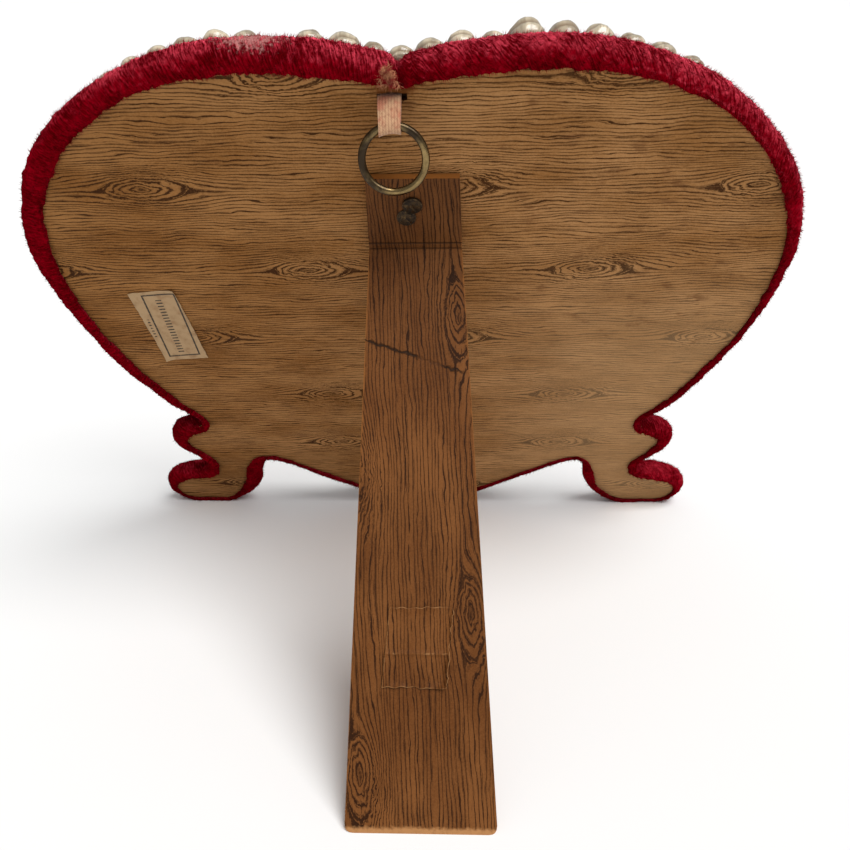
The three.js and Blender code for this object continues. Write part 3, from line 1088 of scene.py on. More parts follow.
@dataclass(frozen=True)
class TapeFinish:
    """Narrow woven tape, pink paling to cream in places, ribbed along its length, dirty in places, with
    painted shade in the hollows of its weave.

    Attributes:
        pink, cream, soiled: Its colours; the last is its dirt and the painted shade in the weave's hollows.
        warp, weft: Between every other thread across and along the tape.
        rib: Between ribs.
    """

    pink: Colour = (0.55, 0.2, 0.11)
    cream: Colour = (0.66, 0.4, 0.22)
    soiled: Colour = (0.24, 0.085, 0.04)
    warp: float = 0.62
    weft: float = 0.56
    rib: float = 0.69

    def material(self, name: str) -> bpy.types.Material:
        """Builds it. UV is (across, along) in millimetres.

        Args:
            name: The material's name.

        Returns:
            The material.
        """

        def build(sheet: Sheet) -> dict[str, object]:
            """The tape's sockets: threads, ribs, fading, dirt, and painted shade in the weave's hollows."""
            across, along, _ = sheet.split(sheet.uv())
            warp = sheet.math("SINE", sheet.times(across, 2 * math.pi / self.warp))
            weft = sheet.math("SINE", sheet.times(along, 2 * math.pi / self.weft))
            ribs = sheet.math("SINE", sheet.times(across, 2 * math.pi / self.rib))
            woven = sheet.plus(sheet.times(warp, weft), ribs)
            weave = sheet.fused(woven, 0.25, 0.5)
            fade = sheet.noise(sheet.uv(), 0.5, detail=3, seed=51)
            dirt = sheet.noise(sheet.uv(), 1.4, detail=4, seed=53)
            colour = sheet.mix(sheet.step(fade, 0.35, 0.6), self.pink, self.cream)
            # Painted shade: the weave's hollows are darkened towards the dirt colour.
            hollow = sheet.times(sheet.minus(1.0, weave), 0.7)
            shaded = sheet.mix(hollow, colour, self.soiled)
            return {
                "Base Color": sheet.mix(sheet.step(dirt, 0.5, 0.72, 0.0, 0.6), shaded, self.soiled),
                "Roughness": 0.88,
                "Sheen Weight": 0.25,
                "Normal": sheet.bump(weave, 0.09, 0.9),
            }

        return new_material(name, build)


@dataclass(frozen=True)
class LabelFinish:
    """Toned paper with a thin ruled border and rows of plain dashes, which aren't letters.

    Attributes:
        paper, foxed, ink: Colours of the paper, of its stains and of the print.
        border: From the label's left, right, lower and upper edge to the ruled line.
        slant: How much the print leans across for each millimetre along.
        rule: Width of the ruled line, and a little more.
        rows: (place across, margin at its ends, height) of each row of dashes.
        dash: From one dash to the next.
    """

    paper: Colour = (0.42, 0.27, 0.135)
    foxed: Colour = (0.3, 0.17, 0.075)
    ink: Colour = (0.012, 0.009, 0.007)
    border: tuple[float, float, float, float] = (2.8, 1.3, 2.0, 1.4)
    slant: float = 0.069
    rule: float = 0.5
    rows: tuple[tuple[float, float, float], ...] = ((7.2, 1.6, 1.9), (1.3, 9.5, 0.8))
    dash: float = 1.3

    def material(self, name: str, width: float, length: float) -> bpy.types.Material:
        """Builds it. UV is (across, along) in millimetres from the label's corner.

        Args:
            name: The material's name.
            width, length: Of the label.

        Returns:
            The material.
        """

        def build(sheet: Sheet) -> dict[str, object]:
            """The label's sockets: foxed paper, the ruled line and the dashes."""
            place, along, _ = sheet.split(sheet.uv())
            upright = sheet.plus(place, self.slant * length / 2)
            across = sheet.fused(along, -self.slant, upright)
            left, right, bottom, top = self.border
            off_middle = [
                sheet.size(sheet.minus(value, (low + high) / 2))
                for value, low, high in ((across, left, width - right), (along, bottom, length - top))
            ]
            inset_x = sheet.minus((width - right - left) / 2, off_middle[0])
            inset_y = sheet.minus((length - top - bottom) / 2, off_middle[1])
            nearest = sheet.math("MINIMUM", inset_x, inset_y)
            line = sheet.step(sheet.size(nearest), self.rule * 0.35, self.rule * 0.75, 1.0, 0.0)
            marks = [self._dashes(sheet, across, along, length, row) for row in self.rows]
            printed = sheet.most(line, sheet.most(*marks))
            rubbed = sheet.noise(sheet.uv(), 2.2, detail=3, seed=61)
            foxing = sheet.noise(sheet.uv(), 0.4, detail=4, seed=63)
            paper = sheet.mix(sheet.step(foxing, 0.42, 0.75), self.paper, self.foxed)
            inked = sheet.times(printed, sheet.step(rubbed, 0.3, 0.45, 0.35, 0.95))
            return {
                "Base Color": sheet.mix(inked, paper, self.ink),
                "Roughness": 0.82,
                "Normal": sheet.bump(rubbed, 0.05, 0.5),
            }

        return new_material(name, build)

    def _dashes(
        self, sheet: Sheet, across: object, along: object, length: float, row: tuple[float, float, float]
    ) -> Socket:
        """A row of plain upright dashes along the label.

        Args:
            sheet: The material's sheet.
            across, along: The place on the label.
            length: Of the label.
            row: The row's place, margin and height.

        Returns:
            1 on a dash and 0 elsewhere.
        """
        place, margin, height = row
        low_edge, high_edge, least_margin = 0.45 * height, 0.55 * height, 2.0
        off_row = sheet.size(sheet.minus(across, place))
        on_row = sheet.step(off_row, low_edge, high_edge, 1.0, 0.0)
        middle = sheet.size(sheet.minus(along, length / 2))
        within = sheet.math("LESS_THAN", middle, length / 2 - margin - least_margin)
        dash = sheet.math("PINGPONG", sheet.math("DIVIDE", along, self.dash), 0.5)
        stroke = sheet.step(dash, 0.16, 0.24, 1.0, 0.0)
        return sheet.times(sheet.times(on_row, within), stroke)


# ------------------------------------------------------------------ sub-assemblies


@dataclass
class HeartBoard:
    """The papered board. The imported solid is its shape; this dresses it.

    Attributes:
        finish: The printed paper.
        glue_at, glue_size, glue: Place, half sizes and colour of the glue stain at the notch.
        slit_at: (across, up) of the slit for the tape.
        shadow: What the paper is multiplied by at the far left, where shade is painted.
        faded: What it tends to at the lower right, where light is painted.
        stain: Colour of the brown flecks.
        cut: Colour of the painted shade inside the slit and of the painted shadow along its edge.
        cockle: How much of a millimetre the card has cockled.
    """

    finish: PaperFinish = PaperFinish(
        ground=(0.42, 0.212, 0.08),
        shade=(0.27, 0.118, 0.033),
        ink=(0.05, 0.017, 0.003),
        rubbed=(0.5, 0.33, 0.16),
        gloss=0.62,
    )
    glue_at: Pair = (-1.2, 187.2)
    glue_size: Pair = (5.6, 4.4)
    glue: Colour = (0.1, 0.026, 0.003)
    slit_at: Pair = (-2.0, 184.0)
    shadow: Colour = (0.68, 0.57, 0.36)
    faded: Colour = (0.56, 0.36, 0.18)
    stain: Colour = (0.13, 0.05, 0.015)
    cut: Colour = (0.035, 0.014, 0.005)
    cockle: float = 0.5

    def _slit_shadow(self, sheet: Sheet, across: object, up: object, flat: object) -> Socket:
        """A painted shadow along the cut's edge: a thin arch close over the slit whose right end curls down
        and thins.

        Args:
            sheet: The material's sheet.
            across, up: The place on the board.
            flat: Both as a vector.

        Returns:
            How dark the painted shadow is there.
        """
        aside = sheet.minus(across, self.slit_at[0])
        wobble = sheet.fused(sheet.noise(flat, 1.1, detail=3, seed=75), 0.5, -0.25)
        sag = sheet.times(sheet.times(aside, aside), 0.075)
        over = sheet.minus(up, self.slit_at[1] + 1.0)
        rise = sheet.plus(sheet.plus(over, sag), wobble)
        arch = sheet.step(sheet.size(rise), 0.16, 0.42, 1.0, 0.0)
        within = sheet.step(sheet.size(aside), 2.9, 3.4, 1.0, 0.0)
        bend = sheet.times(over, over)
        bowed = sheet.fused(bend, 0.14, sheet.minus(aside, 3.1))
        thin = sheet.step(over, -2.6, -0.4, 0.1, 0.5)
        off_curl = sheet.size(sheet.plus(bowed, wobble))
        curl = sheet.step(off_curl, sheet.times(thin, 0.5), thin, 1.0, 0.0)
        low = sheet.step(sheet.size(sheet.plus(over, 1.5)), 1.0, 1.5, 1.0, 0.0)
        return sheet.most(sheet.times(arch, within), sheet.times(curl, low))

    def _stains_and_painted_light(self, sheet: Sheet, across: object, up: object, flat: object, colour: object) -> Socket:
        """The paper with painted shade at the far left and painted light at the lower right, with brown
        flecks and the glue stain, which ends where the distance from its middle in half sizes, plus noise, is
        1.

        Args:
            sheet: The material's sheet.
            across, up: The place on the board.
            flat: Both as a vector.
            colour: The printed colour.

        Returns:
            The colour.
        """
        blotch = sheet.noise(sheet.vector("MULTIPLY", flat, (1 / 9, 1 / 4, 1)), detail=4, rough=0.6, seed=71)
        rightwards = sheet.step(across, -60.0, 60.0, 0.0, 0.06)
        side = sheet.plus(rightwards, sheet.step(up, 60.0, 120.0, -0.1, 0.0))
        # Painted shade: the paper darkens towards the far left, most towards the top.
        leftwards = sheet.step(across, 40.0, -100.0)
        painted_left_shade = sheet.times(leftwards, sheet.step(up, 40.0, 110.0, 0.3, 0.62))
        colour = sheet.mix(painted_left_shade, colour, self.shadow, blend="MULTIPLY")
        # Painted light: the paper pales towards the lower right.
        far_right = sheet.step(across, 0.0, 70.0, 0.0, 0.28)
        pale = sheet.times(far_right, sheet.step(up, 90.0, 140.0, 1.0, 0.0))
        colour = sheet.mix(pale, colour, self.faded)
        flecks = sheet.step(sheet.plus(blotch, side), 0.6, 0.74, 0.0, 0.55)
        stained = sheet.mix(flecks, colour, self.stain)
        off = [
            sheet.math("DIVIDE", sheet.minus(value, centre), size)
            for value, centre, size in zip((across, up), self.glue_at, self.glue_size)
        ]
        from_glue = sheet.math("SQRT", sheet.plus(*(sheet.times(o, o) for o in off)))
        uneven = sheet.noise(flat, 0.9, detail=3, seed=73)
        rough_edge = sheet.fused(uneven, 0.9, from_glue)
        return sheet.mix(sheet.step(rough_edge, 0.95, 1.75, 0.92, 0.0), stained, self.glue)

    def dress(self, board: Plane) -> None:
        """Gives the board's node its printed paper, with the glue stain at the notch and brown flecks,
        painted shade at the far left and in the slit, and painted light at the lower right.

        Args:
            board: The board's frame.
        """

        def build(sheet: Sheet) -> dict[str, object]:
            """The paper's sockets: its stained print with painted shade and light, the cut slit in painted
            shade, and its fibre, print and cockling.
            """
            where = sheet.local(board)
            across, depth, up = sheet.split(where)
            flat = sheet.join(across, up)
            printed = self.finish.printed(sheet, flat)
            stained_and_lit = self._stains_and_painted_light(sheet, across, up, flat, self.finish.colour(sheet, printed))
            painted_slit_shadow = self._slit_shadow(sheet, across, up, flat)
            # Painted shade: faces deeper than the back face, inside the slit, and the painted shadow over it
            # take the dark cut colour.
            cut = sheet.most(sheet.step(depth, 0.02, 0.2), painted_slit_shadow)
            slow = sheet.times(sheet.noise(flat, 0.05, detail=2, seed=27), self.cockle)
            height = sheet.plus(sheet.times(printed["Fibre"], 0.05), slow)
            smoother, rougher = self.finish.gloss - 0.06, self.finish.gloss + 0.08
            return {
                "Base Color": sheet.mix(cut, stained_and_lit, self.cut),
                "Roughness": sheet.step(printed["Tone"], 0.2, 0.8, smoother, rougher),
                "Specular IOR Level": 0.06,
                "Normal": sheet.bump(sheet.fused(printed["Ink"], -0.02, height), 1.0),
            }

        node = frame["nodes"]["heart_board"]
        node.data.materials.clear()
        node.data.materials.append(new_material("board_wood_grain_paper", build))
        log.info("heart_board: printed wood-grain paper on the packed solid")


@dataclass
class VelvetCover:
    """Plush over wadding: a roll round the rim that turns onto the back, and a crowned cushion.

    Attributes:
        lip_right, lip_left: (distance round the board from the notch, how far the plush reaches onto
            the back there), on the right and on the left.
        lip_start: Where the section's lip lies before it is drawn out to that reach.
        bulge: How much fuller the roll is beside the lobes, on the right and on the left.
        bulge_at: Distance from the notch of its middle, and half its length.
        waist: How much thinner the roll is at the waists.
        waist_at: Distance from the notch of a waist's middle, and half its length.
        crease: Depth and half width of the cleft at the notch, where the plush's ends meet.
        section: (out, depth) of the roll from the lip to the front, in order.
        seat: (out, depth) of the hollow that the board sits in.
        step: Distance between points along the roll.
        lumps: Height of the wadding's unevenness and of the pile's tufts.
        lump_cells, tuft_cells: The two sizes of each.
        cushion_inset: From the shells' line to the cushion.
        crown: (share of the full size, depth) of the cushion, from its edge to near its middle.
        cushion_centre: (across, up) of the cushion's middle.
        pucker: Distance between the cushion's puckers, and their depth.
        fibres: How many loose fibres stand out of the roll.
        fibre_length, fibre_radius: Least and greatest length, and the radius at the root.
        combed, astray: How far fibres lean along the roll, and how far they stray.
        thread_count: Frayed threads in the cleft.
        thread_length, thread_radius: Least and greatest length, and the radius at the root.
        thread_span: How far below and above the notch they grow.
        thread_tones: Their colours.
    """

    lip_right: tuple[Pair, ...] = (
        (0, 2.0), (33, 2.5), (50, 2.1), (66, 0.9), (82, 0.1), (170, 0.2), (182, 1.1), (205, 1.1),
        (215, 2.1), (235, 2.1), (250, 0.6), (285, 0.4), (310, 0.1), (330, 0.8), (345, 0.1),
    )
    lip_left: tuple[Pair, ...] = (
        (0, 2.1), (30, 2.7), (50, 2.4), (68, 1.7), (110, 1.4), (130, 2.1), (200, 2.3), (235, 2.4),
        (250, 1.2), (285, 0.6), (310, 0.4), (322, 2.6), (335, 3.0), (350, 0.3),
    )
    bulge: Pair = (0.9, 1.6)
    bulge_at: Pair = (118.0, 55.0)
    waist: float = 2.4
    waist_at: Pair = (218.0, 13.0)
    crease: Pair = (1.7, 1.5)
    lip_start: float = -2.0
    section: tuple[Pair, ...] = (
        (-0.1, -0.75), (0.25, -1.1), (1.3, -1.2), (2.6, -0.9), (4.4, 0.4), (5.3, 2.6), (4.7, 5.2), (2.6, 6.9),
        (0.6, 7.3), (-1.2, 7.4),
    )
    seat: tuple[Pair, ...] = ((0.2, 3.2), (0.2, -0.12))
    step: float = 0.46
    lumps: Pair = (0.32, 0.26)
    lump_cells: Pair = (9.0, 3.4)
    tuft_cells: Pair = (0.75, 0.4)
    cushion_inset: float = 5.4
    crown: tuple[Pair, ...] = (
        (1.0, 6.2), (1.002, 7.2), (0.992, 8.6), (0.965, 9.9), (0.91, 10.9), (0.8, 11.8), (0.6, 12.6),
        (0.35, 13.1), (0.12, 13.2),
    )
    cushion_centre: Pair = (0.0, 112.0)
    pucker: Pair = (7.6, 0.35)
    fibres: int = 23000
    fibre_length: Pair = (0.5, 1.35)
    fibre_radius: float = 0.075
    combed: float = 0.45
    astray: float = 0.36
    thread_count: int = 420
    thread_length: Pair = (0.8, 2.0)
    thread_radius: float = 0.065
    thread_span: Pair = (-3.2, 1.7)
    thread_tones: tuple[Colour, Colour] = ((0.6, 0.27, 0.14), (0.34, 0.05, 0.04))

    def build(self, board: Plane, outline: Outline, shell_line: Outline, plush: PlushFinish) -> None:
        """Makes the roll, its fibres and the cushion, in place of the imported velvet.

        Args:
            board: The board's frame.
            outline: The board's outline.
            shell_line: The line that the shells' centres follow.
            plush: The finish.
        """
        grid = self._roll_surface(board, outline)
        rows, columns = grid.shape[:2]
        places = grid.reshape(-1, 3)
        sides = grid_faces(rows, columns, wrap_columns=True)
        seat_floor = np.arange(columns)[None, ::-1]
        front = (rows - 1) * columns + np.arange(columns)[None, :]
        # The crest attribute sets where the plush's painted highlight falls.
        crest = self._crest(grid)
        values = {"crest": crest.ravel()}
        roll = make_piece("velvet_roll", places, [sides, seat_floor, front], self._combing(grid), values)
        cloth = plush.material("crimson_plush", board, tips=False)
        roll.data.materials.append(cloth)
        fibres = self._fibres(grid, crest)
        fibres.data.materials.append(plush.material("crimson_plush_fibres", board, tips=True))
        cushion = self._cushion(board, shell_line)
        threads = self._threads(board, outline)
        cushion.data.materials.append(cloth)
        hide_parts("velvet_cover")
        for piece in (roll, fibres, cushion, threads):
            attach(piece, Body.HEART.value)
            log.info("%s: %d faces", piece.name, len(piece.data.polygons))

    def _roll_surface(self, board: Plane, outline: Outline) -> Array:
        """The roll as a surface of (v round the section, u along the outline).

        A point is outline(u) + out(v, u) * normal(u) at depth(v), where out counts from the lip's edge,
        which wanders. It is then pushed along the section's own normal by two sizes of noise.

        Args:
            board: The board's frame.
            outline: The board's outline.

        Returns:
            Places in metres, shape (rows, columns, 3): first the hollow for the board, then the roll.
        """
        count = len(outline.points)
        flat = np.column_stack([outline.points, np.zeros(count)])
        total = outline.distance[-1] + self.step
        onwards = outline.distance
        left = onwards > total / 2
        round_right = np.interp(onwards, *np.array(self.lip_right).T)
        round_left = np.interp(total - onwards, *np.array(self.lip_left).T)
        ragged = 0.35 * lattice_noise(flat / 3.1, 5) + 0.3 * lattice_noise(flat / 0.8, 6)
        least_lip = 0.1
        edge = np.minimum(ragged - np.where(left, round_left, round_right), -least_lip)
        from_notch = np.minimum(onwards, total - onwards)
        beside = 1 - smooth_step(0, self.bulge_at[1], np.abs(from_notch - self.bulge_at[0]))
        at_waist = 1 - smooth_step(0, self.waist_at[1], np.abs(from_notch - self.waist_at[0]))
        fuller = np.where(left, self.bulge[1], self.bulge[0]) * beside - self.waist * at_waist
        aside = (np.where(left, -from_notch, from_notch) + 0.6) / self.crease[1]
        cleft = self.crease[0] * np.exp(-(aside**2))
        path = through(list(self.section), 34)
        travel = np.gradient(path, axis=0)
        normal = np.stack([-travel[:, 1], travel[:, 0]], axis=1)
        normal /= -np.linalg.norm(normal, axis=1, keepdims=True)
        pull = 1 - smooth_step(0.0, 3.2, path[:, 0])
        pull[len(path) // 2 :] = 0
        fixed = self.lip_start
        outer = smooth_step(0.4, 4.5, path[:, 0])[:, None]
        out = path[:, 0, None] + fixed + pull[:, None] * (edge - fixed)[None, :] + outer * fuller[None, :]
        depth = np.repeat(path[:, 1, None], count, axis=1)
        around = outline.points[None] + out[..., None] * outline.normals[None]
        cells = np.stack([around[..., 0], depth, around[..., 1]], axis=-1).reshape(-1, 3)
        (broad, narrow), (coarse, fine) = self.lump_cells, self.tuft_cells
        swell = self.lumps[0] * (lattice_noise(cells / broad, 1) + 0.5 * lattice_noise(cells / narrow, 2))
        tuft = self.lumps[1] * (lattice_noise(cells / coarse, 3) + lattice_noise(cells / fine, 4))
        ends = np.minimum(np.arange(len(path)), np.arange(len(path))[::-1]) / 3
        push = ((swell + tuft).reshape(out.shape) - cleft[None, :]) * np.clip(ends, 0, 1)[:, None]
        out = out + push * normal[:, 0, None]
        depth = depth + push * normal[:, 1, None]
        seat_out = np.array([[s[0]] * count for s in self.seat] + [edge + least_lip])
        seat_depth = np.array([[s[1]] * count for s in self.seat] + [[self.seat[-1][1]] * count])
        out, depth = np.vstack([seat_out, out]), np.vstack([seat_depth, depth])
        around = outline.points[None] + out[..., None] * outline.normals[None]
        places = board.place(around[..., 0], depth, around[..., 1])
        places[:, 2] = np.maximum(places[:, 2], 0)
        return places.reshape(*out.shape, 3)

    @staticmethod
    def _crest(grid: Array) -> Array:
        """How far each place of the roll looks up and outwards, from 0 on the back to 1 on the crest; it sets
        the plush's painted highlight.

        Args:
            grid: The roll's places.

        Returns:
            The smoothed dot product of its normal and a direction up and towards the back.
        """
        along = np.roll(grid, -3, axis=1) - np.roll(grid, 3, axis=1)
        normal = np.cross(along, np.gradient(grid, axis=0))
        normal /= np.maximum(np.linalg.norm(normal, axis=2, keepdims=True), 1e-12)
        middle = grid.mean(axis=0, keepdims=True)
        normal *= np.sign(np.median(np.einsum("rcj,rcj->rc", normal, grid - middle)))
        up_and_back = np.array([0.35, -0.25, 0.9])
        upwards = normal @ up_and_back
        return smooth_step(0.1, 0.95, upwards)

    @staticmethod
    def _combing(grid: Array) -> Array:
        """The pile's direction as (across, along) in millimetres: distance along the roll, slanted by
        the distance round its section, and that distance.

        Args:
            grid: The roll's places.

        Returns:
            Two numbers for each place, shape (n, 2).
        """
        around = np.linalg.norm(np.diff(grid, axis=0, prepend=grid[:1]), axis=2).cumsum(axis=0) / MM
        middle = grid[len(grid) // 2]
        along = np.linalg.norm(np.diff(middle, axis=0, prepend=middle[:1]), axis=1).cumsum() / MM
        on_the_right, on_the_left = 0.75, 0.3
        slant = around * np.where(middle[:, 0] > 0, on_the_right, on_the_left)[None]
        return np.stack([along[None] + slant, around], axis=2).reshape(-1, 2)

    def _fibres(self, grid: Array, crest: Array) -> bpy.types.Object:
        """Loose fibres: spikes from random places of the roll, leaning from its normal towards the
        pile's combed direction and a little astray, more of them on the crest and at the lip.

        Args:
            grid: The roll's places.
            crest: How far each looks up and outwards, which also sets its painted highlight.

        Returns:
            The piece.
        """
        random = np.random.default_rng(11)
        rows, columns = grid.shape[:2]
        first, last, lip_rows = 4, rows - 6, 4
        everywhere, on_crest, at_lip = 0.5, 1.6, 1.2
        chance = everywhere + on_crest * crest[first:last]
        chance[:lip_rows] += at_lip
        picked = random.choice(chance.size, self.fibres, p=(chance / chance.sum()).ravel())
        r, c = picked // columns + first, picked % columns
        roots = grid[r, c]
        combed = grid[r, (c + 3) % columns] - grid[r, c - 3]
        normal = np.cross(combed, grid[r + 1, c] - grid[r - 1, c])
        normal /= np.linalg.norm(normal, axis=1, keepdims=True)
        combed /= np.linalg.norm(combed, axis=1, keepdims=True)
        normal *= np.sign(np.median(np.einsum("ij,ij->i", normal, roots - grid.mean(axis=0)[c])))
        along = normal + self.combed * combed + random.normal(0, self.astray, normal.shape)
        along /= np.linalg.norm(along, axis=1, keepdims=True)
        along *= random.uniform(*self.fibre_length, self.fibres)[:, None] * MM
        rooted = 0.15
        places, faces, tips = spikes(roots - rooted * along, along, self.fibre_radius * MM)
        places[:, 2] = np.maximum(places[:, 2], 0)
        # The fibres carry the crest of their roots, so their tips take the painted highlight.
        values = {"tip": tips, "crest": np.repeat(0.25 + 0.75 * crest[r, c], 4)}
        return make_piece("velvet_fibres", places, [faces], values=values, smooth=False)

    def _threads(self, board: Plane, outline: Outline) -> bpy.types.Object:
        """Frayed threads in the cleft at the notch: long spikes leaning out of it at random.

        Args:
            board: The board's frame.
            outline: The board's outline.

        Returns:
            The piece.
        """
        random = np.random.default_rng(5)
        count = self.thread_count
        fallen = random.uniform(*self.thread_span, count)
        up = outline.points[0, 1] - fallen
        middle, least_spread, spread = -2.6, 0.9, 0.36
        reach = least_spread + spread * (fallen - self.thread_span[0])
        across = middle + random.uniform(-1, 1, count) * reach
        depth = random.uniform(-1.3, -0.5, count)
        roots = board.place(across, depth, up)
        sideways, outwards = random.normal(-0.1, 0.7, count), random.uniform(-0.7, -0.15, count)
        heading = np.column_stack([sideways, outwards, random.normal(-0.5, 0.8, count)])
        heading /= np.linalg.norm(heading, axis=1, keepdims=True)
        along = heading * random.uniform(*self.thread_length, count)[:, None] * MM
        places, faces, tips = spikes(roots, along, self.thread_radius * MM)
        piece = make_piece("notch_threads", places, [faces], values={"tip": tips}, smooth=False)

        def build(sheet: Sheet) -> dict[str, object]:
            """The threads' sockets: two tones in soft patches."""
            shade = sheet.noise(sheet.local(board), 0.9, detail=2, seed=37)
            colour = sheet.mix(sheet.step(shade, 0.45, 0.62), *self.thread_tones)
            return {"Base Color": colour, "Roughness": 0.9, "Specular IOR Level": 0.0}

        piece.data.materials.append(new_material("frayed_thread", build))
        return piece

    def _cushion(self, board: Plane, line: Outline) -> bpy.types.Object:
        """The cushion: rings of the shells' line, inset and shrunk towards its middle, at the crown's
        depths, puckered where each shell is sewn and softly uneven, closed in front and behind.

        Args:
            board: The board's frame.
            line: The line that the shells' centres follow.

        Returns:
            The piece.
        """
        edge = line.ring(-self.cushion_inset)[::2]
        profile = through(list(self.crown), 46)
        centre = np.array(self.cushion_centre)
        rings = centre + profile[:, 0, None, None] * (edge - centre)[None]
        depth = np.repeat(profile[:, 1, None], len(edge), axis=1)
        cells = np.stack([rings[..., 0], depth, rings[..., 1]], axis=-1).reshape(-1, 3)
        pitch, pucker_depth = self.pucker
        near_edge = smooth_step(0.9, 0.985, profile[:, 0])[:, None]
        pucker = np.cos(line.distance[::2] * 2 * math.pi / pitch)[None] * near_edge
        uneven = 0.5 * lattice_noise(cells / 21.0, 7) + 0.22 * lattice_noise(cells / 6.0, 8)
        raised = smooth_step(6.4, 8.0, depth)
        depth = depth + (uneven.reshape(depth.shape) + pucker_depth * pucker) * raised
        middle = np.array([[centre[0], depth[-1].mean(), centre[1]]])
        count = len(edge)
        body = board.place(rings[..., 0], depth, rings[..., 1])
        places = np.vstack([body, board.place(*middle.T)])
        last = (len(profile) - 1) * count
        ring = np.arange(count)
        cap = np.stack([last + ring, last + (ring + 1) % count, np.full(count, len(body))], axis=1)
        back = ring[None, ::-1]
        flat = np.vstack([np.column_stack([rings[..., 0].ravel(), rings[..., 1].ravel()]), [centre]])
        faces = [grid_faces(len(profile), count, wrap_columns=True), cap, back]
        # The cushion takes the painted highlight at an even half strength.
        even = {"crest": np.full(len(places), 0.5)}
        return make_piece("velvet_cushion", places, faces, uv=flat, values=even)


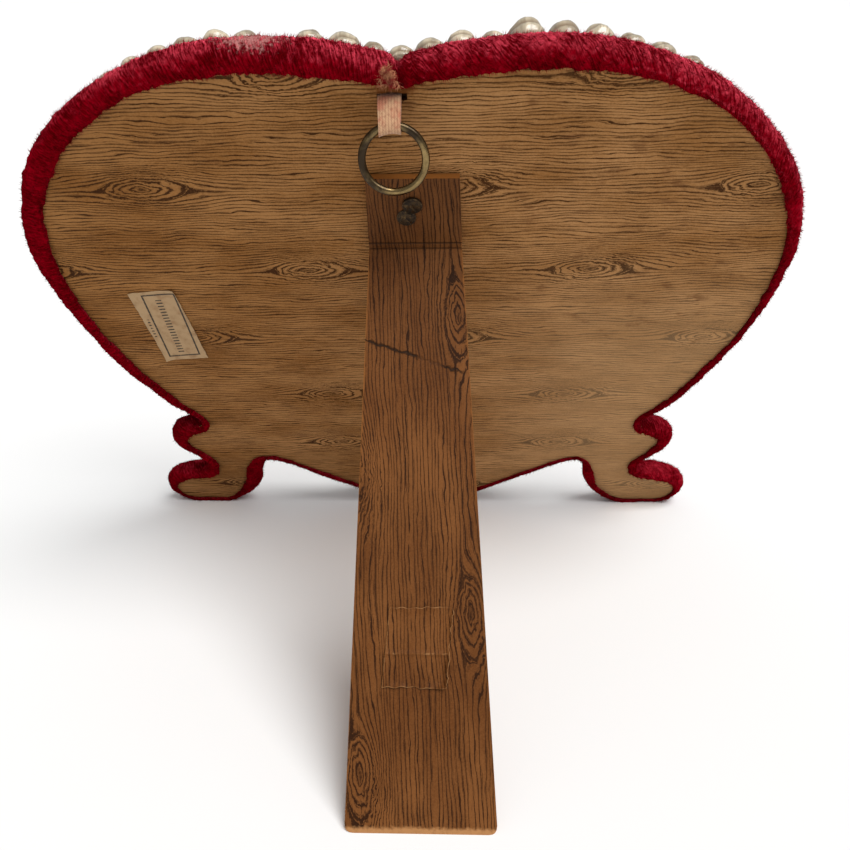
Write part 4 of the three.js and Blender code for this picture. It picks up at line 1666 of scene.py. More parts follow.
@dataclass
class PearlShells:
    """Round top shells standing on the velvet, one for each packed shell, its apex forwards.

    Attributes:
        whorls: Turns of the spiral from apex to rim.
        groove: Depth of the line between whorls, as a share of the radius.
        unevenness: Height of the shells' knobs, as a share of the radius.
        groove_width: Its half width, as a share of a turn.
        ribs: Height, number and twist of the fine ribs.
        knob_cells: Knobs in a radius.
        tilted: How far shells lean, in radians.
        hole: Share of the way from apex to foot where the first ring lies.
        spired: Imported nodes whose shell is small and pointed.
        spire: How much narrower and how many times as tall its top is.
        sides, rings: Faces round a shell and from apex to base.
        sink: Share of the diameter that is flattened on the velvet.
        apart: Distances within which a peak of a joined row has no point, then no other peak, above it.
    """

    whorls: float = 2.6
    groove: float = 0.11
    unevenness: float = 0.075
    groove_width: float = 0.13
    ribs: tuple[float, int, int] = (0.012, 18, 2)
    knob_cells: float = 2.1
    tilted: float = 0.09
    hole: float = 0.02
    spired: tuple[str, ...] = ("shell_right_03",)
    spire: Pair = (0.55, 1.12)
    sides: int = 32
    rings: int = 17
    sink: float = 0.15
    apart: Pair = (2.95, 3.25)

    def build(self, board: Plane, pearl: PearlFinish) -> None:
        """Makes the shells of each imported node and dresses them.

        Args:
            board: The board's frame.
            pearl: The finish.
        """
        coat = pearl.material("pearly_shell")
        names = sorted(n for n in frame["nodes"] if n.startswith("shell_"))
        random = np.random.default_rng(7)
        for name in names:
            places = self._places(name, board)
            parts = [self._one(board, place, random, name in self.spired) for place in places]
            count = len(parts[0][0])
            points = np.vstack([p[0] for p in parts])
            quads = np.vstack([p[1] + k * count for k, p in enumerate(parts)])
            caps = np.vstack([p[2] + k * count for k, p in enumerate(parts)])
            uv = np.vstack([p[3] for p in parts])
            values = {key: np.concatenate([p[4][key] for p in parts]) for key in ("tone", "suture")}
            piece = make_piece(f"{name}_pearl", points, [quads, caps], uv=uv, values=values)
            piece.data.materials.append(coat)
            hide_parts(name)
            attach(piece, Body.HEART.value)
            log.info("%s: %d shells", piece.name, len(places))

    def _places(self, name: str, board: Plane) -> list[tuple[float, float, float, float]]:
        """Centre (across, up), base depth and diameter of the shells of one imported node.

        A separate shell's come from its box, those of a joined row from the row's peaks: points with
        none higher near them.

        Args:
            name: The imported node.
            board: The board's frame.

        Returns:
            Four numbers for each shell.
        """
        node = frame["nodes"][name]
        co = np.array([v.co for v in node.data.vertices]) / MM - board.origin
        cos, sin = math.cos(board.tilt), math.sin(board.tilt)
        x, y, z = co.T
        local = np.column_stack([x, y * cos + z * sin, z * cos - y * sin])
        low, high = local.min(axis=0), local.max(axis=0)
        base = low[1]
        if "row" not in name:
            size = high[0] - low[0]
            return [((low[0] + high[0]) / 2, (low[2] + high[2]) / 2, base, size)]
        peaks = local[local[:, 1] > base + self.apart[0]]
        for apart in self.apart:
            peaks = self._highest(peaks, apart)
        peaks = np.unique(np.round(peaks, 2), axis=0)
        return [(x, z, base, (y - base) / (1 - self.sink)) for x, y, z in peaks]

    @staticmethod
    def _highest(points: Array, apart: float) -> Array:
        """The points (across, depth, up) that have none of the others further forwards near them.

        Args:
            points: Shape (n, 3).
            apart: How far near reaches.

        Returns:
            Some of the points.
        """
        flat, depth = points[:, [0, 2]], points[:, 1]
        near = np.linalg.norm(flat[:, None] - flat[None], axis=2) < apart
        level = 1e-3
        return points[depth >= np.where(near, depth[None], -np.inf).max(axis=1) - level]

    def _one(
        self, board: Plane, place: tuple[float, ...], random: np.random.Generator, spired: bool
    ) -> tuple[Array, Array, Array, Array, dict[str, Array]]:
        """One shell: a ball of the given size, flattened at its foot, with a spiral groove where
        t = (turn + whole) / whorls, t going from 0 at the apex to 1 at the foot.

        Args:
            board: The board's frame.
            place: Its centre, base depth and diameter.
            random: Turns, tilts and tones it.
            spired: Whether it is small and pointed.

        Returns:
            Vertices, quads, the foot's n-gon, UV, and the numbers "tone" and "suture".
        """
        across, up, base, size = place
        t = np.linspace(0.0, 1.0, self.rings)[:, None]
        turn = np.arange(self.sides)[None, :] / self.sides
        low = math.acos(2 * self.sink - 1)
        polar = np.maximum(t, self.hole) * low
        spiral = (t * self.whorls - turn + random.uniform()) % 1.0
        off_line = np.minimum(spiral, 1 - spiral) / self.groove_width
        suture = np.exp(-(off_line**2)) * smooth_step(0.0, 0.12, t)
        height, count, drawn = self.ribs
        ribs = height * np.sin(2 * math.pi * (turn * count + t * drawn)) * t
        angle = 2 * math.pi * turn + random.uniform(0, 2 * math.pi)
        east, north = np.sin(polar) * np.cos(angle), np.sin(polar) * np.sin(angle)
        ball = np.stack([east, north, np.cos(polar) + 0 * angle], axis=-1).reshape(-1, 3)
        cells = self.knob_cells * ball + random.uniform(0, 50, 3)
        knobs = lattice_noise(cells, 61).reshape(suture.shape)
        radius = size / 2 * (1 - self.groove * suture + ribs + self.unevenness * knobs)
        tilt = random.normal(0, self.tilted, 2)
        local_x, local_z = radius * east, radius * north
        rise = radius * np.cos(polar)
        if spired:
            narrower, taller = self.spire
            narrow = 1 - narrower * smooth_step(0.0, 1.0, np.cos(polar))
            local_x, local_z, rise = local_x * narrow, local_z * narrow, rise * taller
        foot = size * (0.5 - self.sink)
        lean_x, lean_z = local_x + rise * tilt[0], local_z + rise * tilt[1]
        depth = np.maximum(rise + foot, 0.0)
        places = board.place(across + lean_x, base + depth, up + lean_z)
        quads = grid_faces(self.rings, self.sides, wrap_columns=True)
        cap_low = ((self.rings - 1) * self.sides + np.arange(self.sides))[None]
        cap_high = np.arange(self.sides)[None, ::-1]
        uv = np.column_stack([np.broadcast_to(value, suture.shape).ravel() for value in (turn, t)])
        tone = np.full(suture.size, random.uniform())
        return places, quads, np.vstack([cap_low, cap_high]), uv, {"tone": tone, "suture": suture.ravel()}


@dataclass
class Strut:
    """The folding card strut: its two packed cards dressed, the paper over its fold, and its stay.

    Attributes:
        opening: Angle between the board and the open leg.
        fold_width: Across the fold.
        foot: Left and right edge at the foot, from the fold's middle.
        plate_top: Width and height of the fixed plate's top.
        leg_length: From the fold to the foot.
        print_turn: How much the grain leans across for each millimetre down.
        print_from: What is added to the place down and across to give the place in the print.
        creases, crease_darkness: How far down the two creases at the fold lie, and how dark the painted shade
            in them is.
        paper_over: Where the paper over the fold starts and ends, and its thickness.
        crack: (across, down) at the two ends of a crack in the leg's paper.
        crack_gap: Left and right end of the part of the crack that has closed.
        stay: Left, right, start and end of the paper stay's remains, from the fold.
        stay_fold: How far down the stay is creased.
        stay_slant: How much further left the stay's lower left corner lies.
        stay_thickness: Of the stay's paper.
        finish: The paper.
        edge: Colour of the cut card.
        shadow: What the paper is multiplied by where it is darkest.
        soot: Colour of the crack, and of the painted shade in the creases.
        torn: Colour of the stay's torn edges.
    """

    opening: float = math.radians(62.5)
    fold_width: float = 25.4
    foot: Pair = (-16.7, 21.3)
    plate_top: Pair = (23.8, 23.15)
    leg_length: float = 151.2
    print_turn: float = 0.043
    print_from: Pair = (-47.9, 177.05)
    creases: Pair = (-1.85, -0.1)
    crease_darkness: Pair = (0.5, 0.4)
    paper_over: tuple[float, float, float] = (-1.9, 0.3, 0.14)
    crack: tuple[Pair, ...] = ((-14.8, 25.1), (12.6, 34.4))
    crack_gap: Pair = (0.5, 7.5)
    stay: tuple[float, float, float, float] = (-6.0, 8.9, 96.0, 116.0)
    stay_fold: float = 107.6
    stay_slant: float = 1.9
    stay_thickness: float = 0.16
    finish: PaperFinish = PaperFinish(
        ground=(0.19, 0.07, 0.018),
        shade=(0.115, 0.037, 0.0075),
        ink=(0.026, 0.0075, 0.001),
        rubbed=(0.42, 0.2, 0.075),
        gloss=0.5,
        grain=Grain(spacing=1.12, further=0.8, long_sway=3.4, bunch=3.4, weight=0.32, breaks=0.6),
    )
    edge: Colour = (0.27, 0.1, 0.022)
    shadow: Colour = (0.5, 0.47, 0.5)
    soot: Colour = (0.02, 0.009, 0.004)
    torn: Colour = (0.36, 0.18, 0.07)

    def frames(self, board: Plane) -> tuple[Plane, Plane]:
        """The plate's and the leg's frames: both start at the fold, in the middle of the outer face.

        Args:
            board: The board's frame.

        Returns:
            The plate's frame and the leg's.
        """
        joint = next(j for j in frame["joints"] if j["name"] == "strut_fold")
        origin = tuple(v / MM for v in joint["pos_m"])
        return Plane(origin, board.tilt), Plane(origin, board.tilt - self.opening)

    def build(self, board: Plane) -> None:
        """Dresses the plate and the leg and makes the fold's paper and the stay.

        Args:
            board: The board's frame.
        """
        plate, leg = self.frames(board)
        half = self.fold_width / 2
        slope = (self.foot[0] + half) / self.leg_length, (self.foot[1] - half) / self.leg_length
        taper = (half - self.plate_top[0] / 2) / self.plate_top[1]
        leg_paper = self._paper("strut_leg_paper", leg, slope, self.leg_length)
        plate_paper = self._paper("strut_plate_paper", plate, (taper, -taper), None)
        for name, paper in (("strut_leg", leg_paper), ("strut_plate", plate_paper)):
            node = frame["nodes"][name]
            node.data.materials.clear()
            node.data.materials.append(paper)
            log.info("%s: darker wood-grain paper on the packed card", name)
        self._fold_paper(plate, leg, plate_paper)
        self._stay(leg)

    def _printed(
        self, sheet: Sheet, across: object, down: object
    ) -> tuple[Socket, Socket, Socket]:
        """The printed paper at a place.

        Args:
            sheet: The material's sheet.
            across, down: The place on the card.

        Returns:
            Its colour, its fibre and the place in the print.
        """
        lean = sheet.fused(down, -self.print_turn, self.print_from[1])
        flat = sheet.join(sheet.plus(down, self.print_from[0]), sheet.plus(across, lean))
        printed = self.finish.printed(sheet, flat)
        return self.finish.colour(sheet, printed), printed["Fibre"], flat

    def _paper(
        self, name: str, plane: Plane, slope: Pair, end: float | None
    ) -> bpy.types.Material:
        """The strut's paper in one of its frames: painted shade darkening the leg towards its top and the
        whole plate evenly, its cut edges bare card.

        Args:
            name: The material's name.
            plane: The card's frame.
            slope: How much the left and right edges move across for each millimetre down.
            end: How far down the worn foot lies; the plate has none.

        Returns:
            The material.
        """

        def build(sheet: Sheet) -> dict[str, object]:
            """The card's sockets: print under painted shade, chafed sides, worn foot, crack, and painted
            shade in the creases.
            """
            across, depth, up = sheet.split(sheet.local(plane))
            down = sheet.times(up, -1.0)
            colour, fibre, flat = self._printed(sheet, across, down)
            # Painted shade: the leg darkens towards its top, and the whole plate is darkened evenly.
            shade = sheet.step(down, 0.0, 60.0, 0.28, 0.0) if end else 0.5
            with_painted_shade = sheet.mix(shade, colour, self.shadow, blend="MULTIPLY")
            left_edge = sheet.fused(down, slope[0], -self.fold_width / 2)
            right_edge = sheet.fused(down, slope[1], self.fold_width / 2)
            left = sheet.minus(across, left_edge)
            right = sheet.minus(right_edge, across)
            chafe = sheet.noise(flat, 0.8, detail=4, rough=0.6, seed=81)
            patchy = sheet.noise(flat, 0.16, detail=2, seed=83)
            reach = sheet.times(chafe, sheet.step(patchy, 0.42, 0.62, 0.35, 1.3))
            worn_side = sheet.step(sheet.math("MINIMUM", left, right), 0.03, reach, 0.75, 0.0)
            worn_side = sheet.times(worn_side, sheet.step(down, 30.0, 90.0, 1.0, 0.3))
            cut = sheet.step(depth, 0.03, 0.12)
            bare = sheet.mix(sheet.most(worn_side, cut), with_painted_shade, self.edge)
            if end:
                foot = sheet.minus(end, down)
                worn, sound = sheet.times(chafe, 1.5), sheet.fused(chafe, 2.4, 0.7)
                worn_foot = sheet.step(foot, worn, sound, 1.0, 0.0)
                worn_foot = sheet.times(worn_foot, sheet.step(chafe, 0.25, 0.6, 0.75, 1.0))
                bare = sheet.mix(worn_foot, bare, self.finish.rubbed)
            # The crack and the painted shade in the creases take the dark crack colour.
            crack, crease = self._cracks(sheet, across, down)
            broken = sheet.most(crack, crease)
            relief = sheet.fused(crack, -0.3, sheet.times(crease, -0.15))
            return {
                "Base Color": sheet.mix(broken, bare, self.soot),
                "Roughness": sheet.step(chafe, 0.2, 0.8, self.finish.gloss, self.finish.gloss + 0.16),
                "Specular IOR Level": 0.1,
                "Normal": sheet.bump(sheet.fused(fibre, 0.05, relief), 1.0),
            }

        return new_material(name, build)

    def _cracks(
        self, sheet: Sheet, across: object, down: object
    ) -> tuple[Socket, Socket]:
        """The ragged crack across the leg's paper, closed for a stretch, and the painted shade in the creases
        at the fold.

        Args:
            sheet: The material's sheet.
            across, down: The place on the card.

        Returns:
            How dark the crack is and how dark the painted shade in the creases is.
        """
        place = sheet.join(across, down)
        wobble = sheet.fused(sheet.noise(place, 0.7, detail=4, seed=91), 2.6, -1.3)
        (x0, y0), (x1, y1) = self.crack
        level = sheet.fused(sheet.minus(across, x0), (y1 - y0) / (x1 - x0), y0)
        away = sheet.size(sheet.plus(sheet.minus(down, level), wobble))
        blots = sheet.noise(sheet.join(across, 0.0), 0.45, detail=3, seed=93)
        thick = sheet.most(sheet.fused(blots, 3.0, -0.85), 0.2)
        middle, half = sum(self.crack_gap) / 2, (self.crack_gap[1] - self.crack_gap[0]) / 2
        off_middle = sheet.size(sheet.minus(across, middle))
        closed = sheet.step(off_middle, half - 1.0, half + 0.6, 0.3, 1.0)
        ends = sheet.times(closed, sheet.step(across, x1 - 1.0, x1 + 1.5, 0.95, 0.0))
        crack = sheet.times(sheet.step(away, 0.1, thick, 1.0, 0.0), ends)
        sway = sheet.fused(wobble, 0.14, down)
        lines = [
            sheet.step(sheet.size(sheet.minus(sway, crease)), 0.08, 0.36, darkness, 0.0)
            for crease, darkness in zip(self.creases, self.crease_darkness)
        ]
        return crack, sheet.most(*lines)

    def _fold_paper(self, plate: Plane, leg: Plane, paper: bpy.types.Material) -> None:
        """The paper that runs on over the score: a strip whose section follows the plate's face above
        the fold and the leg's below, rounded between, as thin as the paper is.

        Args:
            plate: The plate's frame.
            leg: The leg's frame.
            paper: The plate's paper.
        """
        start, end, thickness = self.paper_over
        margin, lift, bent = 0.03, 0.05, 0.3
        along = np.linspace(start, end, 25)[:, None]
        across = np.linspace(-self.fold_width / 2 + margin, self.fold_width / 2 - margin, 60)[None]
        bend = np.repeat(smooth_step(-bent, bent, along), across.size, axis=0)
        layers = []
        for depth in (-lift, -lift - thickness):
            above, below = (p.place(across, depth, -along) for p in (plate, leg))
            layers.append(above * (1 - bend) + below * bend)
        piece = make_piece("fold_paper", np.vstack(layers), thin_sheet(along.size, across.size), smooth=False)
        piece.data.materials.append(paper)
        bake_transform(piece)
        log.info("fold_paper: paper over the score, bends with the joint")

    def _stay(self, leg: Plane) -> None:
        """What is left of the paper stay: a thin torn sheet pasted on the leg, its edges lifting.

        The sheet's height is lift * (1 - distance to the edge)^2, and more in a crease across it.

        Args:
            leg: The leg's frame.
        """
        left, right, start, end = self.stay
        u, v = np.meshgrid(np.linspace(0, 1, 70), np.linspace(0, 1, 90), indexing="xy")
        torn = 0.5 * grid_noise(21, 14 * v) + 0.25 * grid_noise(24, 40 * v)
        frayed = 0.35 * grid_noise(22, 10 * u, 3 + 0 * v)
        skewed = self.stay_slant * (1 - u) * v
        x = left + (right - left) * u + torn * (u - 0.2) + 1.3 * u * (1 - v) - skewed
        down = start + (end - start) * v + frayed * (2 * v - 1)
        border = 2 * np.minimum(np.minimum(u, 1 - u), np.minimum(v, 1 - v))
        curl = np.clip(1 - border * 5, 0, 1) ** 2 * (0.6 + grid_noise(23, x / 4, down / 5))
        curl = curl * (0.5 + 0.9 * smooth_step(0.8, 1.0, u))
        crease = np.exp(-(((down - self.stay_fold) / 0.5) ** 2))
        height = 0.06 + np.clip(curl, 0, None) + 0.35 * crease
        layers = [leg.place(x, -(height + t), -down) for t in (0.0, self.stay_thickness)]
        nearest = np.minimum(np.minimum(u, 1 - u) * (right - left), np.minimum(v, 1 - v) * (end - start))
        values = {"edge": np.tile(nearest.ravel(), 2), "crease": np.tile(crease.ravel(), 2)}
        piece = make_piece("stay_paper", np.vstack(layers), thin_sheet(*u.shape), values=values)

        def build(sheet: Sheet) -> dict[str, object]:
            """The stay's sockets: the same print with its torn edges bared."""
            across, _, up = sheet.split(sheet.local(leg))
            colour, _, flat = self._printed(sheet, across, sheet.times(up, -1.0))
            fray = sheet.noise(flat, 1.3, detail=3, seed=95)
            seen = sheet.step(sheet.noise(flat, 0.35, detail=3, seed=97), 0.4, 0.6, 0.05, 0.75)
            rim = sheet.step(sheet.attribute("edge"), 0.02, sheet.times(fray, 0.6), 1.0, 0.0)
            ridge = sheet.step(sheet.attribute("crease"), 0.6, 1.0)
            ridge = sheet.times(ridge, sheet.step(fray, 0.45, 0.62, 0.0, 0.7))
            bared = sheet.times(sheet.most(rim, ridge), seen)
            return {
                "Base Color": sheet.mix(bared, colour, self.torn),
                "Roughness": self.finish.gloss + 0.1,
                "Specular IOR Level": 0.1,
                "Normal": sheet.bump(fray, 0.08),
            }

        piece.data.materials.append(new_material("torn_stay_paper", build))
        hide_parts("stay_remnant")
        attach(piece, Body.STRUT.value)
        log.info("stay_paper: torn remains of the stay")


@dataclass
class Brads:
    """Two domed fastener heads, the upper lapping over the lower.

    Attributes:
        profile: (distance from the middle, rise) of a head, as shares of its radius.
        upper, lower: Place of each head on the board (across, up), its radius and how it tips.
        dent: Depth, slant and half width of the dent across a head.
        pitting: Height and size of its unevenness.
        face: How far the strut's plate stands out from the board.
        lap: How far the lower head rises clear of the upper one's rim, and under it.
        sides: Points round a head.
        metal: The finish.
    """

    profile: tuple[Pair, ...] = (
        (1.0, 0.0), (1.02, 0.09), (0.96, 0.17), (0.8, 0.2), (0.5, 0.27), (0.0, 0.3),
    )
    upper: tuple[float, float, float, float] = (1.6, 154.2, 2.6, 0.1)
    lower: tuple[float, float, float, float] = (-0.1, 150.2, 2.5, -0.05)
    dent: tuple[float, float, float] = (0.16, 0.6, 0.35)
    pitting: Pair = (0.05, 0.7)
    face: float = 2.32
    lap: Pair = (0.72, 0.12)
    sides: int = 48
    metal: MetalFinish = MetalFinish((0.1, 0.062, 0.03), (0.018, 0.01, 0.005), 0.34, 0.6, 900.0, 0.2)

    def build(self, board: Plane) -> None:
        """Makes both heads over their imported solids, as a turned profile with a dent across it.

        Args:
            board: The board's frame.
        """
        metal = self.metal.material("tarnished_brad")
        for name, head in (("brad_upper", self.upper), ("brad_lower", self.lower)):
            piece = self._head(f"{name}_head", board, head)
            piece.data.materials.append(metal)
            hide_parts(name)
            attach(piece, Body.HEART.value)
            log.info("%s: domed head", piece.name)

    def _head(self, name: str, board: Plane, head: tuple[float, float, float, float]) -> bpy.types.Object:
        """One head: its profile turned round its middle, with a dent across it and a slight tilt. The
        lower head is the one under the upper head's rim, and is held down there.

        Args:
            name: The piece's name.
            board: The board's frame.
            head: Its place, radius and tilt.

        Returns:
            The piece.
        """
        across, up, radius, tilt = head
        path = through(list(self.profile), 22)
        turn = np.arange(self.sides) / self.sides * 2 * math.pi
        share = np.maximum(path[:, 0, None], 0.01)
        x, z = radius * share * np.cos(turn), radius * share * np.sin(turn)
        dent_depth, dent_slant, dent_width = self.dent
        off_dent = (x + dent_slant * z) / dent_width
        dent = dent_depth * np.exp(-(off_dent**2)) * (1 - smooth_step(0.6, 1.0, share))
        rise = radius * path[:, 1, None] - dent + tilt * z
        rough, cell = self.pitting
        rise = rise + rough * grid_noise(31, x / cell, rise / cell, z / cell)
        from_upper = np.hypot(across + x - self.upper[0], up + z - self.upper[1])
        over, under = self.lap
        covered = smooth_step(self.upper[2] + 0.5, self.upper[2], from_upper)
        if (across, up) == self.upper[:2]:
            rise = np.maximum(rise, 0) + 2 * under
        else:
            rise = np.minimum(rise, under + (over - under) * (1 - covered))
        rise = np.maximum(rise, 0.02)
        places = board.place(across + x, -self.face - rise, up + z)
        back = board.place(across + x[0], -self.face, up + z[0])
        count = self.sides
        caps = np.stack([np.arange(count)[::-1], len(path) * count + np.arange(count)])
        sides = grid_faces(len(path) + 1, count, wrap_columns=True)
        return make_piece(name, np.vstack([back, places]), [sides, caps])


@dataclass
class HangingLoop:
    """The woven tape and the brass ring that hang plumb from the slit.

    Attributes:
        slit: (across, up) of the slit in the board.
        ring_x, tape_x: How far across their middles lie.
        ring_radius, wire: The ring's mean radius and its wire's radius.
        out: How far in front of the slit, towards the strut, the ring hangs.
        drop: How far below the slit the wire's middle is where the tape runs under it.
        width, thickness: Of the tape.
        narrowed: Share of its width that it loses towards the ring.
        dented: Unevenness of the wire, as a share of its radius.
        brass: The ring's finish.
    """

    slit: Pair = (-2.0, 184.0)
    ring_x: float = -1.9
    tape_x: float = -2.6
    ring_radius: float = 7.6
    wire: float = 0.95
    out: float = 2.1
    drop: float = 6.0
    width: float = 5.5
    thickness: float = 0.42
    narrowed: float = 0.06
    dented: float = 0.02
    # The ring's finish paints full shade where it turns away from view.
    brass: MetalFinish = MetalFinish((0.34, 0.235, 0.1), (0.03, 0.017, 0.006), 0.2, 0.3, 75.0, 0.2, 1.0)

    def build(self, board: Plane, tape: TapeFinish) -> None:
        """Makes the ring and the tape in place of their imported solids.

        Args:
            board: The board's frame.
            tape: The tape's finish.
        """
        slit = board.point(self.slit[0], 0, self.slit[1]) / MM
        plumb = Plane((0.0, slit.y, slit.z), 0.0)
        for piece, finish, node, name in (
            (self._ring(plumb), self.brass.material("old_brass"), "hanging_ring", "brass"),
            (self._tape(plumb), tape.material("pink_woven_tape"), "hanging_tape", "tape"),
        ):
            piece.data.materials.append(finish)
            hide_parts(node)
            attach(piece, Body.HEART.value)
            log.info("%s: %d faces", piece.name, len(piece.data.polygons))

    def _ring(self, plumb: Plane) -> bpy.types.Object:
        """A torus: wire of one radius carried round a circle of another, its wear a slight noise.

        Args:
            plumb: The upright frame at the slit.

        Returns:
            The piece.
        """
        round_ring, round_wire, dent_cells = 144, 28, 3
        major = np.arange(round_ring)[:, None] / round_ring * 2 * math.pi
        minor = np.arange(round_wire)[None, :] / round_wire * 2 * math.pi
        circle = np.column_stack([np.cos(major), 0 * major, np.sin(major)]) * dent_cells
        dents = 1 + self.dented * lattice_noise(circle, 41)[:, None]
        reach = self.ring_radius + self.wire * dents * np.cos(minor)
        x = self.ring_x + reach * np.cos(major)
        z = -self.drop - self.ring_radius + reach * np.sin(major)
        y = -self.out + self.wire * dents * np.sin(minor)
        places = plumb.place(x, y, z)
        faces = grid_faces(round_ring, round_wire, wrap_rows=True, wrap_columns=True)
        return make_piece("brass_ring", places, [faces])

    def _tape(self, plumb: Plane) -> bpy.types.Object:
        """The tape: a thin band carried along its side view, which runs out of the slit, plumb down,
        under the wire and back up into the slit. It dips at its edges as the wire does.

        Args:
            plumb: The upright frame at the slit.

        Returns:
            The piece.
        """
        slack, sag, straight = 0.12, 0.35, 0.9
        reach = self.wire + slack + self.thickness / 2
        bend = -self.drop - sag
        arc = np.linspace(math.pi, 2 * math.pi, 15)[1:-1]
        front = [(1.1, 0.58), (0.25, 0.42), (-0.7, -0.1), (-2.05, -1.8), (-2.9, -3.6)]
        front += [(-self.out - reach, bend + straight)]
        under = [(-self.out + reach * math.cos(a), bend + reach * math.sin(a)) for a in arc]
        back = [(-self.out + reach, bend + straight), (-0.55, -3.2), (0.2, -1.5), (0.75, -0.72), (1.5, -0.35)]
        path = through(front + under + back, 110)
        travel = np.gradient(path, axis=0)
        travel /= np.linalg.norm(travel, axis=1, keepdims=True)
        normal = np.stack([travel[:, 1], -travel[:, 0]], axis=1)
        length = np.concatenate([[0], np.cumsum(np.linalg.norm(np.diff(path, axis=0), axis=1))])
        low = smooth_step(0, -self.drop, path[:, 1])
        across = np.linspace(-0.5, 0.5, 21)
        narrow = self.width * (1 - self.narrowed * low)
        x = self.tape_x + narrow[:, None] * across[None, :]
        offset = x - self.ring_x
        dip = (self.ring_radius - np.sqrt(self.ring_radius**2 - offset**2)) * low[:, None]
        layers = []
        for side in (-0.5, 0.5):
            y = path[:, 0, None] + side * self.thickness * normal[:, 0, None] + 0 * x
            z = path[:, 1, None] + side * self.thickness * normal[:, 1, None] - dip
            layers.append(plumb.place(x, y, z))
        uv = np.column_stack([(narrow[:, None] * across).ravel(), np.repeat(length, len(across))])
        return make_piece("woven_tape", np.vstack(layers), thin_sheet(*x.shape), uv=np.vstack([uv, uv]))


@dataclass
class PaperLabel:
    """The small pasted label: a thin sheet whose corners lift a little.

    Attributes:
        centre: (across, up) of its middle on the board.
        size, turn: Its width and length, and how far it is turned, in radians.
        thickness: Of the paper.
        curl, edge_curl: How far two of its corners lift, and its long edges.
        ragged: How uneven its cut edges are.
    """

    centre: Pair = (-75.6, 105.3)
    size: Pair = (14.0, 31.0)
    turn: float = math.radians(6)
    thickness: float = 0.16
    curl: float = 0.55
    edge_curl: float = 0.12
    ragged: float = 0.12

    def build(self, board: Plane, finish: LabelFinish) -> None:
        """Makes the label: with a and b from -1 to 1 across and along it, it lifts by curl * a^4 * b^8 at
        two opposite corners and by edge_curl * a^6 along its sides, and a soft wave runs over it.

        Args:
            board: The board's frame.
            finish: The label's finish.
        """
        width, length = self.size
        u, v = np.meshgrid(np.linspace(0, 1, 40), np.linspace(0, 1, 80), indexing="xy")
        wave = 0.1 * grid_noise(51, 3 * u, 6 * v)
        a, b = 2 * u - 1, 2 * v - 1
        opposite = 0.5 + 0.5 * np.sign(b) * np.sign(a)
        lift = self.curl * a**4 * b**8 * opposite + self.edge_curl * a**6
        ragged = self.ragged * grid_noise(52, 9 * u, 20 * v)
        x = (u - 0.5) * width + ragged * (np.abs(a) > 0.98)
        z = (v - 0.5) * length + ragged * (np.abs(b) > 0.99)
        cos, sin = math.cos(self.turn), math.sin(self.turn)
        across = self.centre[0] + x * cos - z * sin
        up = self.centre[1] + x * sin + z * cos
        height = 0.05 + np.maximum(lift + wave * 0.5, 0)
        layers = [board.place(across, -(height + t), up) for t in (0.0, self.thickness)]
        uv = np.column_stack([(u * width).ravel(), (v * length).ravel()])
        piece = make_piece("paper_label", np.vstack(layers), thin_sheet(*u.shape), uv=np.vstack([uv, uv]))
        piece.data.materials.append(finish.material("toned_label_paper", width, length))
        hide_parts("label")
        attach(piece, Body.HEART.value)
        log.info("paper_label: %d faces", len(piece.data.polygons))


# ------------------------------------------------------------------ studio


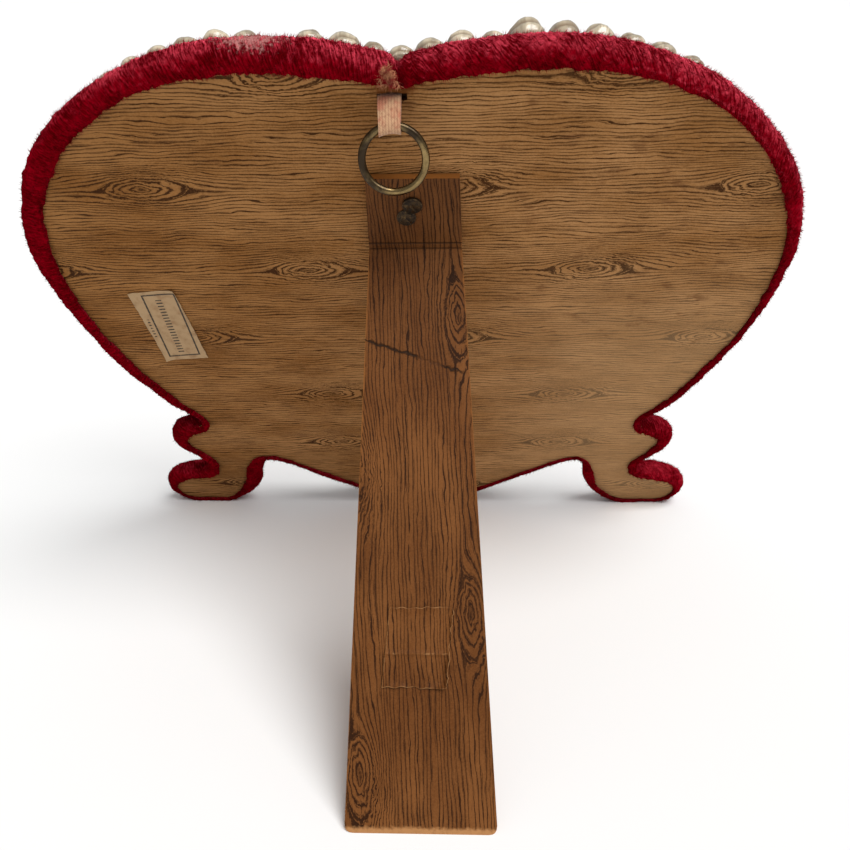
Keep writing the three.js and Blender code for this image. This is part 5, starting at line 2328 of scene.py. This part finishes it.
@dataclass
class Studio:
    """Plain pale floor, soft light and the camera, behind and above the heart.

    Attributes:
        stand: The camera's place in millimetres, from the middle of the board's ground line.
        heading, pitch, roll: Its angles in degrees.
        lens: Focal length and sensor width in millimetres.
        floor_radius: Of the floor, in metres.
        sky, key: Strengths of the sky and of the wide light.
        key_width: Angle over which the wide light spreads, in degrees.
        key_from: Direction that it comes from.
    """

    stand: tuple[float, float, float] = (12.287, -292.58, 188.14)
    heading: float = 2.174
    pitch: float = 27.721
    roll: float = -0.965
    lens: float = 36.0
    floor_radius: float = 40.0
    sky: float = 0.36
    key: float = 2.95
    key_width: float = 40.0
    key_from: tuple[float, float, float] = (0.38, -0.36, 0.85)

    def build(self, board: Plane) -> None:
        """Sets the stage and the camera.

        Args:
            board: The board's frame.
        """
        self._camera(board)
        self._floor()
        self._lights()

    def _camera(self, board: Plane) -> None:
        """Turns the camera about Z by its heading, down by its pitch, then about its axis by its roll.

        Args:
            board: The board's frame.
        """
        camera = bpy.data.cameras.new("camera")
        camera.lens = camera.sensor_width = self.lens
        camera.clip_start = 0.01
        holder = bpy.data.objects.new("camera", camera)
        turns = [
            Matrix.Rotation(math.radians(self.heading), 4, "Z"),
            Matrix.Rotation(math.radians(90 - self.pitch), 4, "X"),
            Matrix.Rotation(math.radians(self.roll), 4, "Z"),
        ]
        place = Matrix.Translation(MM * (Vector(self.stand) + Vector(board.origin)))
        holder.matrix_world = place @ turns[0] @ turns[1] @ turns[2]
        bpy.context.scene.collection.objects.link(holder)
        bpy.context.scene.camera = holder

    def _floor(self) -> None:
        """A wide pale disc at Z = 0."""
        sides = 96
        turn = np.arange(sides) / sides * 2 * math.pi
        places = self.floor_radius * np.column_stack([np.cos(turn), np.sin(turn), 0 * turn])
        floor = make_piece("floor", places, [np.arange(sides)[None]])

        def build(sheet: Sheet) -> dict[str, object]:
            """The floor's sockets: a pale, slightly cloudy white."""
            where = sheet.add("ShaderNodeTexCoord").outputs["Object"]
            cloud = sheet.noise(where, 3.0, detail=2, seed=99)
            colour = sheet.mix(cloud, (0.88, 0.88, 0.875), (0.92, 0.92, 0.915))
            return {"Base Color": colour, "Roughness": 0.9, "Specular IOR Level": 0.1}

        floor.data.materials.append(new_material("pale_floor", build))

    def _lights(self) -> None:
        """A pale sky and one very wide, soft light from above and behind the camera, seen as printed."""
        scene = bpy.context.scene
        scene.view_settings.view_transform = "Standard"
        world = bpy.data.worlds.new("sky")
        world.use_nodes = True
        backdrop = world.node_tree.nodes["Background"]
        backdrop.inputs["Color"].default_value = (1.0, 1.0, 1.0, 1.0)
        backdrop.inputs["Strength"].default_value = self.sky
        scene.world = world
        lamp = bpy.data.lights.new("key", "SUN")
        lamp.angle, lamp.energy = math.radians(self.key_width), self.key
        holder = bpy.data.objects.new("key", lamp)
        holder.rotation_euler = Vector(self.key_from).to_track_quat("Z", "Y").to_euler()
        scene.collection.objects.link(holder)


def main() -> None:
    """Builds the sub-assemblies in order."""
    logging.basicConfig(level=logging.INFO, format="%(name)s %(message)s")
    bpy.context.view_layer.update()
    board = board_plane(LEAN, BOARD_THICKNESS)
    outline = Outline.through_stations(BOARD_STATIONS, VelvetCover.step, NORMALS_SOFTENED)
    shell_line = Outline.through_stations(CUSHION_STATIONS, VelvetCover.step * 2, NORMALS_SOFTENED)
    Studio().build(board)
    HeartBoard().dress(board)
    VelvetCover().build(board, outline, shell_line, PlushFinish())
    PearlShells().build(board, PearlFinish())
    Strut().build(board)
    Brads().build(board)
    HangingLoop().build(board, TapeFinish())
    PaperLabel().build(board, LabelFinish())
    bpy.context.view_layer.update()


if __name__ == "__main__":
    main()
